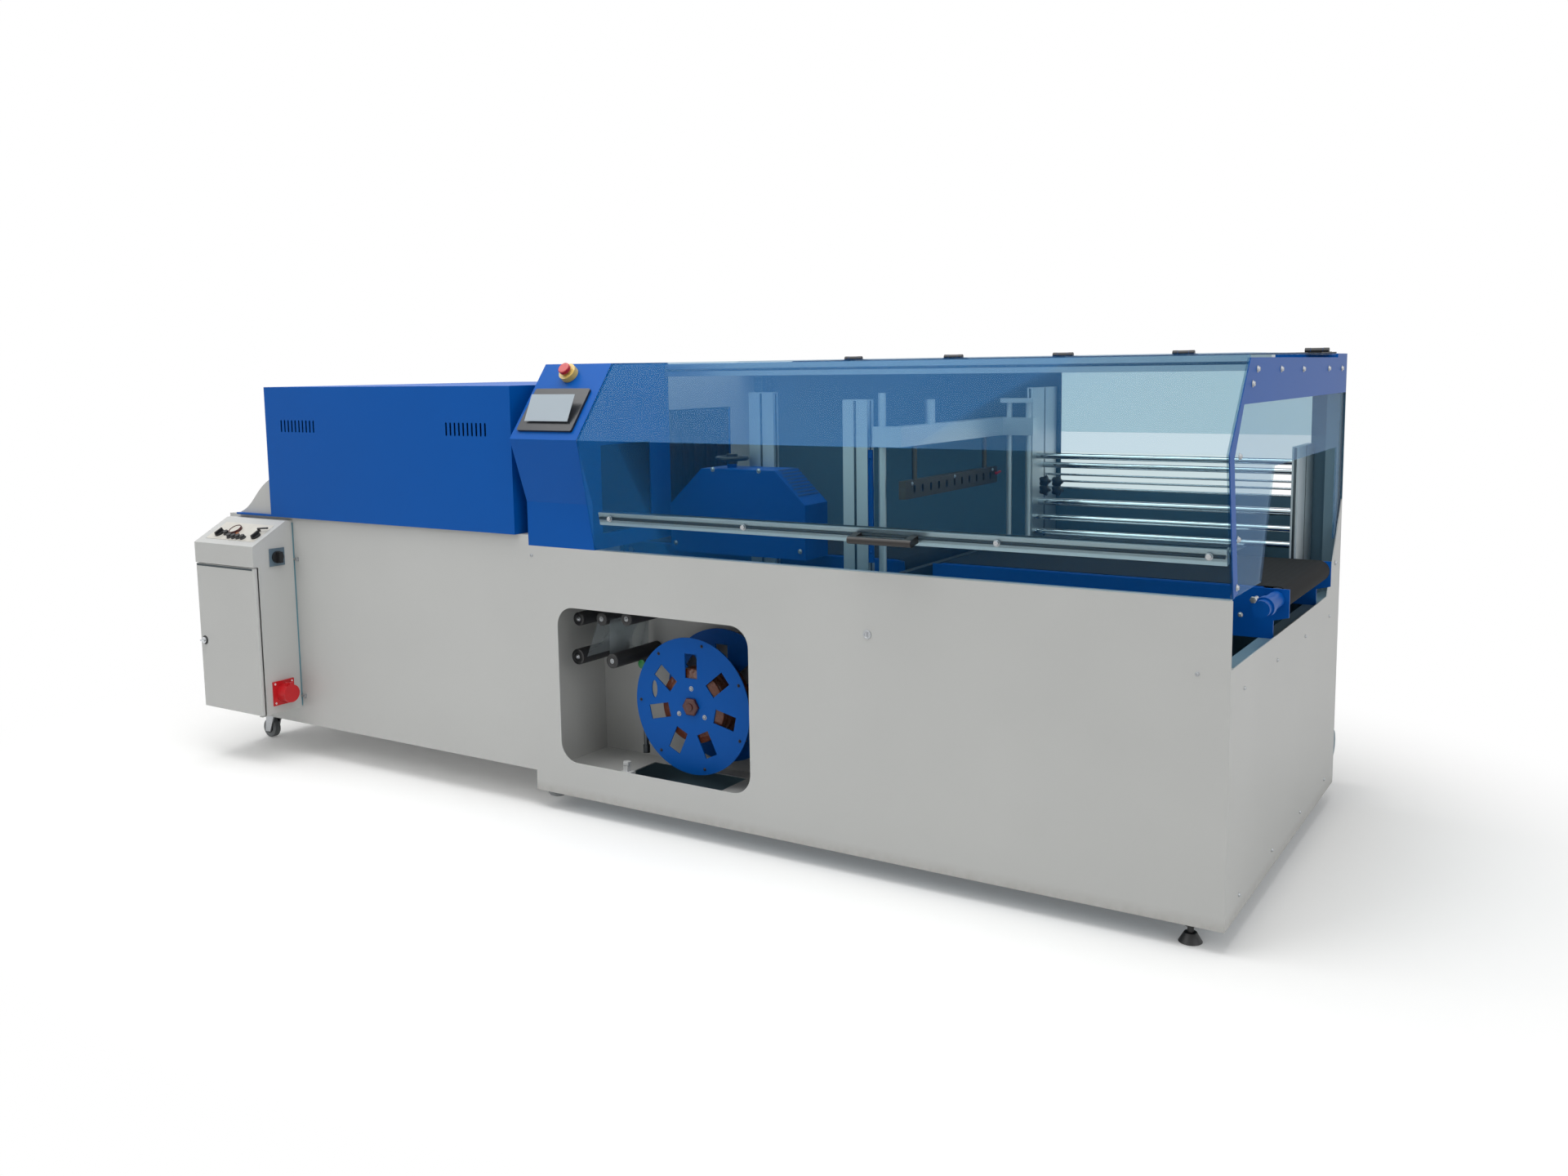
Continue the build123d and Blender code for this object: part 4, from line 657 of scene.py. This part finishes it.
class SEALER_OT_cabinet(Operator):
    """Adds the cabinet's lock, screws and corner buffer"""
    bl_idname = "sealer.cabinet"
    bl_label = "Cabinet fittings"

    def execute(self, context):
        # Quarter-turn lock of the front panel, with its slot.
        x, z = 909, 703
        lock = Shape().turned((x, FRONT, z), -Y,
                              [(13, 0), (13, 2.5), (10, 3.5), (8, 3.5), (7.5, 2), (0, 2)])
        lock.block((x - 1.4, FRONT - 4.6, z - 6), (x + 1.4, FRONT - 1.5, z + 6))
        lock.piece("panel_lock", "machine", "bright_steel", "steel")
        # Screws of the front, end and rear panels.
        screws, head = Shape(), size("panel_screw")
        for x, z in ((-336, 845), (1816, 694)):
            screws.screw((x, FRONT, z), -Y, head)
        for y in (-560, -200, 160, 520):
            for z in (640, 110):
                screws.screw((INFEED_END, y, z), X, head)
        for x in (-250, 280, 810, 1340, 1800):
            for z in (930, 120):
                screws.screw((x, REAR, z), Y, head)
        screws.piece("cabinet_screws", "machine", "bright_steel", "steel")
        # Rounded rubber buffer under the front left corner.
        pad = Shape().turned((-284, -660, 60), -Z, [(34, 0), (34, 5), (30, 13), (20, 18), (0, 19)], 36)
        pad.piece("corner_buffer", "machine", "black_plastic", "tyre")
        return {"FINISHED"}


class SEALER_OT_hood(Operator):
    """Adds the hood's bolts, grooves, rubber strip, hinge covers and shield screws"""
    bl_idname = "sealer.hood"
    bl_label = "Hood fittings"

    def execute(self, context):
        self.rails(shortest=500, lower_rail_below=1100)
        self.rear_seal()
        self.hinge_covers()
        # Screws of the end shield in its painted trim.
        shield = Shape()
        face = box("end_shield_trim")[1][0]
        for y, z in ((-512, 1420), (-255, 1418), (17, 1416), (378, 1415), (589, 1414), (-557, 1385),
                     (-668, 1217), (-662, 1020), (-662, 905), (590, 800)):
            shield.screw((face, y, z), X, size("shield_screw"))
        shield.piece("end_shield_screws", "machine", "bright_steel", "steel")
        return {"FINISHED"}

    def rails(self, shortest, lower_rail_below):
        """Grooves of both rails, dark with painted shade, and the bolt heads on the lower one."""
        lines, bolts = Shape(), Shape()
        for low, high in solids_of("door_rails"):
            if high[0] - low[0] < shortest:
                continue
            grooves(lines, low, high, 0)
            if high[2] < lower_rail_below:
                for x in (14, 513, 1302, 1842):
                    bolts.bolt((x, low[1], (low[2] + high[2]) / 2), -Y, size("rail_bolt"))
        lines.piece("rail_grooves", "hood_door", "rail_metal", "groove", 0)
        bolts.piece("rail_bolts", "hood_door", "bright_steel", "steel")

    def rear_seal(self):
        """Extruded rubber strip over the hood's rear edge."""
        low, (right, rear, top) = box("door_shield")
        left = low.x
        outline = ((14, 0), (1, 0), (1, 3), (5, 5), (14, 2))
        strip = Shape().prism([(left, rear - back, top + up) for back, up in outline],
                              (right - left, 0, 0))
        strip.piece("hood_rear_seal", "hood_door", "black_plastic", "black", 0.4)

    def hinge_covers(self):
        """Black mouldings over the fixed ears of the hinges, either side of each knuckle."""
        knuckle, ear_height, foot_length, foot, wall = 8, 18, 45, 6, 0.4
        clear, reach = 0.8, 18
        ears = Shape()
        foot_z = box("hood_beam")[1][2] - ear_height
        for low, high in solids_of("door_hinges"):
            y, z = high[1] - knuckle, high[2] - knuckle
            for start, end in ((low[0] - reach, low[0] - clear), (high[0] + clear, high[0] + reach)):
                ears.turned((start, y, z), X, [(knuckle + wall, 0), (knuckle + wall, end - start)])
                ears.block((start, y, foot_z), (end, y + foot_length + wall, foot_z + foot + wall))
        ears.piece("hinge_ear_covers", "machine", "black_plastic", "black")


class SEALER_OT_posts(Operator):
    """Adds the slots of the aluminium posts and beams, dark with painted shade"""
    bl_idname = "sealer.posts"
    bl_label = "Profile slots"

    def execute(self, context):
        shortest, thinnest = 250, 28
        lines = Shape()
        for low, high in solids_of("inner_posts"):
            sides = [high[k] - low[k] for k in range(3)]
            if max(sides) > shortest and sorted(sides)[1] >= thinnest:
                grooves(lines, low, high, sides.index(max(sides)))
        lines.piece("post_grooves", "machine", "rail_metal", "groove", 0)
        return {"FINISHED"}


class SEALER_OT_console(Operator):
    """Adds the glass of the touch panel, and behind the console's window a dark cloth that is partly
    painted shade
    """
    bl_idname = "sealer.console"
    bl_label = "Console fittings"

    def execute(self, context):
        # The tilted face runs back and up from the knee; points on it are given by their way up it.
        slope = Vector((0, 111, 234)).normalized()
        out = Vector((0, -slope.z, slope.y))
        low, high = box("touch_panel")
        middle = (low.x + high.x) / 2
        start = self.bezel_foot(slope, out)
        half_width, first, last, proud = 90, 31, 123, 0.6
        corners = []
        for side, along in ((-1, first), (1, first), (1, last), (-1, last)):
            corners.append(start + X * (middle + side * half_width) + slope * along)
        screen = Shape().prism(corners, out * proud)
        screen.piece("touch_screen_glass", "machine", "screen_black", "screen", 0.2)
        # Dark cloth behind the window in the console's right wall: it stands in for the curtain seen
        # through the open housing and for the shade inside it.
        cloth = Shape().block((-74, FRONT + 48, 928), (-72.4, FRONT + 292, 1204))
        cloth.piece("console_window_shade_cloth", "machine", "curtain_brown", "curtain", 0.3)
        return {"FINISHED"}

    def bezel_foot(self, slope, out):
        """The bezel's lowest front line, at x = 0."""
        spots = [vertex.co / MM for vertex in frame["nodes"]["touch_panel"].data.vertices]
        farthest = max(spot.dot(out) for spot in spots)
        lowest = min(spot.dot(slope) for spot in spots if spot.dot(out) > farthest - 1)
        return slope * lowest + out * farthest


class SEALER_OT_winder(Operator):
    """Adds the scrap reel's hub and trim, the guide rollers' caps, the film web and the clamp"""
    bl_idname = "sealer.winder"
    bl_label = "Winder fittings"

    def execute(self, context):
        low, high = box("scrap_reel")
        self.reel((low.x + high.x) / 2, FRONT + 95, (low.z + high.z) / 2)
        self.guide_rollers()
        # Green cap on the dancer's pivot.
        arm_front = box("dancer_arm")[0][1]
        cap = Shape().turned((-10, arm_front, 490), -Y, [(15, 0), (15, 3), (12, 5), (0, 5)])
        cap.piece("dancer_pivot_cap", "dancer", "bright_steel", "green")
        # White clamp with its thumb screw on the floor of the bay.
        x, y, floor = -43, -595, 132.5
        clamp = Shape().block((x - 19, y - 15, floor), (x + 23, y + 15, floor + 9.5))
        clamp.block((x - 9, y - 9, floor + 9.5), (x + 9, y + 9, floor + 27.5))
        clamp.turned((x, y, floor + 27.5), Z, [(9, 0), (9, 4), (12, 4, five_lobes), (12, 14, five_lobes),
                                               (0, 15)], 40)
        clamp.piece("bay_clamp", "machine", "black_plastic", "white")
        return {"FINISHED"}

    def reel(self, x, face, z):
        """Hub nut, screws, and the trim wound between the discs."""
        hub = Shape().turned((x, face, z), -Y, [(30, 0, hexagon), (30, 9, hexagon), (26, 12, hexagon),
                                                (0, 12)], 36)
        hub.turned((x, face - 12, z), -Y, [(12, 0), (12, 3), (5, 4), (0, 4)])
        hub.piece("reel_hub_nut", "reel", "black_plastic", "hub")
        for name, slot, material, count, first, radius, head in (
            ("reel_hub_screws", "bright_steel", "steel", 3, 90, 57, size("cover_screw")),
            ("reel_rim_screws", "black_plastic", "black", 7, 26, 200, size("small_screw")),
        ):
            screws = Shape()
            for i in range(count):
                a = math.radians(first + 360 / count * i)
                screws.screw((x + radius * math.cos(a), face, z + radius * math.sin(a)), -Y, head)
            screws.piece(name, "reel", slot, material)
        # Sealing trim wound loosely between the two discs: ridged, with a wavy outside.
        core, disc, width, steps = 46, 7, 153, 22
        profile = [(core, disc - 2)]
        for i in range(steps + 1):
            swell = 112 + 9 * math.sin(2.1 * i) + 6 * math.sin(5.3 * i + 1)
            profile.append((swell, disc + width * i / steps))
        profile.append((core, disc + width + 2))
        trim = Shape().turned((x, face, z), Y, profile, 48)
        trim.piece("wound_trim", "reel", "film_clear", "scrap", 0)

    def guide_rollers(self):
        """Black bearing caps with a bright centre screw, and the film led over the rollers."""
        caps, centres = Shape(), Shape()
        end = box("guide_rollers")[0][1]
        for x, z, r in ((-210, 509, 26), (-65, 510, 24), (-202, 635, 22), (-105, 644, 22),
                        (-2, 653, 22)):
            caps.turned((x, end, z), -Y, [(r, 0), (r, 3), (r - 3, 5), (r - 9, 5), (r - 10, 4), (0, 4)])
            centres.screw((x, end - 4, z), -Y, size("cover_screw"))
        caps.piece("guide_roller_caps", "machine", "black_plastic", "black")
        centres.piece("guide_roller_screws", "machine", "bright_steel", "steel")
        web, start, width, thickness = Shape(), FRONT + 82, 200, 0.3
        for (x0, z0), (x1, z1) in (((-184, 509), (-127, 644)), ((-83, 644), (-89, 510))):
            side = Vector((z1 - z0, 0, x0 - x1)).normalized() * thickness
            a, b = Vector((x0, start, z0)), Vector((x1, start, z1))
            web.prism([a, b, b + side, a + side], Y * width)
        web.piece("trim_web", "machine", "film_clear", "film", 0)


class SEALER_OT_side_seal(Operator):
    """Adds the side sealing unit's screws and vent holes, whose dark is painted shade"""
    bl_idname = "sealer.side_seal"
    bl_label = "Side sealing unit"

    def execute(self, context):
        low, high = box("side_seal_housing")
        face, top, right = low.y, high.z, high.x
        screws = Shape()
        for x, z in ((179, top - 14), (356, top - 14), (24, 872), (506, 872)):
            screws.screw((x, face, z), -Y, size("cover_screw"))
        screws.piece("side_seal_screws", "side_seal_unit", "bright_steel", "steel")
        # Perforated field on the right slope: holes in nine staggered rows, drawn as dark discs of
        # painted shade.
        left, slope_foot, hole = right - 110, 1016, 3.2
        slope = Vector((right - left, 0, slope_foot - top)).normalized()
        out = Vector((-slope.z, 0, slope.x))
        start = Vector((left, face, top))
        holes = Shape()
        for row in range(9):
            for column in range(10):
                spot = start + slope * (16 + 13 * row) + Y * (14 + 12 * column + 6 * (row % 2))
                holes.turned(spot, out, [(hole, -0.2), (hole, 0.25), (0, 0.3)], 10)
        holes.piece("side_seal_vent", "side_seal_unit", "black_plastic", "groove", 0)
        return {"FINISHED"}


class SEALER_OT_cross_seal(Operator):
    """Adds the cross sealing unit's screws, wire lug and painted strut"""
    bl_idname = "sealer.cross_seal"
    bl_label = "Cross sealing unit"

    def execute(self, context):
        low, high = box("cross_jaw_upper")
        face, front, rear, foot = high.x, low.y, high.y, low.z
        screws = Shape()
        for share in (0.06, 0.5, 0.94):
            screws.screw((face, front + (rear - front) * share, foot + 46), X, size("panel_screw"))
        screws.piece("upper_jaw_screws", "upper_jaw", "bright_steel", "steel")
        # Red wire lug at the jaw's rear end.
        z = 1072
        lug = Shape().rod((face + 6, rear - 18, z), (face + 6, rear + 12, z + 4), 4)
        lug.rod((face, rear - 16, z), (face + 7, rear - 16, z), 5)
        lug.piece("jaw_wire_lug", "upper_jaw", "red_plastic", "inlet")
        # Painted strut on the front post, clear of the beam as it comes down.
        left, front, thickness, foot, top = 730, -360, 8, 848, 1190
        strut = Shape().prism([(left, front, foot), (left + 16, front, foot), (left + 14, front, top),
                               (left, front, top)], Y * thickness)
        for z in (top - 25, foot + 32):
            strut.screw((left + 7.5, front, z), -Y, size("small_screw"))
        strut.piece("front_guide_strut", "machine", "blue_paint", "blue")
        return {"FINISHED"}


class SEALER_OT_film_rods(Operator):
    """Adds the film rods' star knobs and the former plate"""
    bl_idname = "sealer.film_rods"
    bl_label = "Film rod fittings"

    def execute(self, context):
        knobs = Shape()
        for z in (1043, 1014):
            for x in (985, 1030):
                knobs.turned((x, 436, z), -Y, [
                    (6, 0), (6, 10), (17, 10, five_lobes), (19, 15, five_lobes), (17, 24, five_lobes),
                    (8, 27), (0, 27),
                ], 40)
        knobs.piece("rod_star_knobs", "machine", "black_plastic", "black")
        # Folded plate behind the belt, over which the film is opened.
        left, right, front, rear, under, sheet, lip = 964, 1640, 356, 640, 846, 3, 24
        plate = Shape().block((left, front, under), (right, rear, under + sheet))
        plate.block((left, front, under), (right, front + sheet, under - lip))
        plate.piece("former_plate", "machine", "bright_steel", "steel", 0.8)
        return {"FINISHED"}


class SEALER_OT_conveyors(Operator):
    """Adds the conveyors' bracket, tension bolt and screws"""
    bl_idname = "sealer.conveyors"
    bl_label = "Conveyor fittings"

    def execute(self, context):
        front = box("infeed_frame")[0][1]
        left, width, depth = 1345, 28, 5
        black = Shape().block((left, front - depth, 778), (left + width, front, 812))
        black.piece("side_bracket", "machine", "black_plastic", "black")
        bright = Shape()
        bright.bolt((left + width / 2, front - depth, 795), -Y, 12)
        bright.turned((1880, front, 838), -Y, [(5, 0), (5, 34), (9, 34, hexagon), (9, 42, hexagon),
                                               (0, 43)], 24)
        for x in (905, 1140, 1600, 1840):
            bright.screw((x, front, 790), -Y, 10)
        bright.piece("conveyor_side_screws", "machine", "bright_steel", "steel")
        return {"FINISHED"}


class SEALER_OT_tunnel(Operator):
    """Adds the heat curtain at the outfeed and the tunnel's screws"""
    bl_idname = "sealer.tunnel"
    bl_label = "Tunnel fittings"

    def execute(self, context):
        # Heat curtain in the way through: overlapping strips of coated cloth under a clamp bar.
        strips, pitch, overlap, cloth = Shape(), 76, 3, 1.2
        for i in range(9):
            y = -234 + pitch * i
            x = -349.5 - 2 * cloth * (i % 2)
            end = y + pitch + overlap
            strips.prism([(x, y, 848), (x, end, 848), (x - cloth, end, 1285), (x - cloth, y, 1285)],
                         -X * cloth)
        strips.block((-356, -236, 1281), (-348.4, 458, 1289))
        strips.piece("outfeed_curtain", "machine", "curtain_brown", "curtain", 0)
        screws, head = Shape(), size("panel_screw")
        low, high = box("tunnel_housing")
        back, left, right = high.y, low.x, high.x
        for x in (left + 60, (left + right) / 2, right - 60):
            for z in (1350, 960):
                screws.screw((x, back, z), Y, head)
        back = box("tunnel_base")[1][1]
        for x in (-1850, -1400, -900, -400):
            for z in (860, 180):
                screws.screw((x, back, z), Y, head)
        screws.piece("tunnel_screws", "machine", "bright_steel", "steel")
        return {"FINISHED"}


class SEALER_OT_electric_box(Operator):
    """Adds the electric box's gauge, lamp, buttons, plates, painted gap shadow and pins"""
    bl_idname = "sealer.electric_box"
    bl_label = "Electric box fittings"

    def execute(self, context):
        self.slanted_panel()
        self.side()
        self.door()
        # Pins that hold the box to the tunnel's base.
        pins = Shape()
        for z in (755, 234):
            pins.turned((BOX_SIDE + 3.5, -697, z), X,
                        [(4, 0), (4, 18), (7, 18), (7, 22), (3, 23), (0, 23)], 20)
        pins.piece("box_pins", "machine", "bright_steel", "steel")
        return {"FINISHED"}

    def slanted_panel(self):
        """Plate, gauge, buttons, lamp and lever, placed by x and the way up the slope."""
        slope = (PANEL_HEAD - PANEL_FOOT).normalized()
        out = Vector((0, -slope.z, slope.y))
        sheet = 1.2

        def spot(x, along, height=1.0):
            return PANEL_FOOT + slope * along + X * x + out * height

        plate = Shape().prism([spot(-1842, 28, 0), spot(-1560, 28, 0), spot(-1560, 132, 0),
                               spot(-1842, 132, 0)], out * sheet)
        plate.piece("panel_plate", "machine", "light_grey_paint", "dial", 0.4)
        x, along, dial = -1728, 84, 9
        gauge = Shape().turned(spot(x, along), out, [(25, 0), (25, 9), (24, 11), (22, 11), (21.5, 8),
                                                     (0, 8)], 40)
        gauge.piece("gauge_rim", "machine", "red_plastic", "hub")
        face = Shape().turned(spot(x, along, dial), out, [(21.4, 0), (21.4, 0.6), (0, 0.6)], 40)
        needle = dial + 0.6
        face.prism([spot(x - 1, along - 4, needle), spot(x + 1, along - 4, needle),
                    spot(x, along + 14, needle)], out * 0.4)
        face.piece("gauge_face", "machine", "yellow_plastic", "dial", 0.1)
        buttons = Shape()
        for x, along in ((-1718, 45), (-1692, 45), (-1666, 45), (-1640, 45), (-1758, 62)):
            buttons.turned(spot(x, along), out, [(12, 0), (12, 3), (9.5, 5), (9.5, 12), (8, 13.5),
                                                 (0, 13.5)])
        buttons.piece("panel_buttons", "machine", "black_plastic", "black")
        lamp = Shape().turned(spot(-1696, 64), out, [(7, 0), (7, 4), (5.5, 6), (0, 8)])
        lamp.piece("panel_lamp", "machine", "yellow_plastic", "amber")
        lever = Shape().rod(spot(-1598, 92), spot(-1598, 92, 14), 5)
        lever.rod(spot(-1602, 92, 13), spot(-1552, 100, 13), 3.2)
        lever.piece("panel_lever", "machine", "black_plastic", "black")

    def side(self):
        """Screws of the inlet, plate of the main switch and strip along the rear edge."""
        low, high = box("power_socket")
        y, z = (low.y + high.y) / 2, (low.z + high.z) / 2
        corner, reach = Shape(), 36
        for dy in (-reach, reach):
            for dz in (-reach, reach):
                corner.screw((BOX_SIDE + 4, y + dy, z + dz), X, size("small_screw"))
        corner.piece("inlet_screws", "machine", "bright_steel", "white")
        low, high = box("main_switch_handle")
        y, z = (low.y + high.y) / 2, (low.z + high.z) / 2
        half = 33
        cover = Shape().block((BOX_SIDE + 4, y - half, z - half), (BOX_SIDE + 5.4, y + half, z + half))
        cover.piece("switch_cover", "machine", "black_plastic", "switch_plate", 0.5)
        edge = Shape().block((BOX_SIDE, -697.5, 196), (BOX_SIDE + 2.5, -693.6, 892))
        edge.piece("box_edge_strip", "machine", "blue_paint", "edge_trim", 0.3)

    def door(self):
        """Dark strip of painted shadow along the door's top, for the gap under the brow, and the washer
        of its lock.
        """
        low, high = box("box_door")
        face, top = low.y, high.z
        # A dark strip along the door's top is painted shadow of the gap under the brow.
        gap_shadow = Shape().block((low.x + 3, face - 0.5, top - 9), (high.x - 10, face, top - 1.5))
        gap_shadow.piece("box_door_gap_shadow", "electric_box_door", "black_plastic", "groove", 0.2)
        low, high = box("box_lock")
        x, z = (low.x + high.x) / 2, (low.z + high.z) / 2
        washer = Shape().turned((x, face, z), -Y, [(17, 0), (17, 0.8), (15.5, 1.2), (0, 1.2)], 32)
        washer.piece("box_lock_washer", "electric_box_door", "black_plastic", "black", 0.2)


class SEALER_OT_supports(Operator):
    """Adds the covers on the caster wheels"""
    bl_idname = "sealer.supports"
    bl_label = "Support fittings"

    def execute(self, context):
        for body, node in (("caster_front_wheel", "front_caster_wheel"),
                           ("caster_rear_wheel", "rear_caster_wheel")):
            low, high = box(node)
            middle = (low + high) / 2
            disc = Shape()
            for side, y in ((-Y, low.y), (Y, high.y)):
                disc.turned((middle.x, y, middle.z), side, [(20, 0), (20, 0.3), (14, 0.6), (0, 0.6)])
            disc.piece(node + "_cover", body, "wheel_grey", "black", 0.2)
        return {"FINISHED"}


class SEALER_PT_panel(Panel):
    """Lists the machine's colours, sizes and pieces"""
    bl_idname = "SEALER_PT_panel"
    bl_label = "Side sealing machine"
    bl_space_type = "VIEW_3D"
    bl_region_type = "UI"
    bl_category = "Sealing machine"

    def draw(self, context):
        for group in (context.scene.sealer_colours, context.scene.sealer_sizes):
            for key in group.bl_rna.properties.keys():
                if key not in ("rna_type", "name"):
                    self.layout.prop(group, key)
        for operator in OPERATORS:
            self.layout.operator(operator.bl_idname)


OPERATORS = (
    SEALER_OT_stage, SEALER_OT_finishes, SEALER_OT_cabinet, SEALER_OT_hood, SEALER_OT_posts,
    SEALER_OT_console, SEALER_OT_winder, SEALER_OT_side_seal, SEALER_OT_cross_seal,
    SEALER_OT_film_rods, SEALER_OT_conveyors, SEALER_OT_tunnel, SEALER_OT_electric_box,
    SEALER_OT_supports,
)
CLASSES = (SealerColours, SealerSizes, *OPERATORS, SEALER_PT_panel)


def register():
    for each in CLASSES:
        bpy.utils.register_class(each)
    bpy.types.Scene.sealer_colours = PointerProperty(type=SealerColours)
    bpy.types.Scene.sealer_sizes = PointerProperty(type=SealerSizes)


def unregister():
    del bpy.types.Scene.sealer_sizes
    del bpy.types.Scene.sealer_colours
    for each in reversed(CLASSES):
        bpy.utils.unregister_class(each)


def main():
    register()
    for operator in OPERATORS:
        group, name = operator.bl_idname.split(".")
        getattr(getattr(bpy.ops, group), name)()


if __name__ == "__main__":
    main()
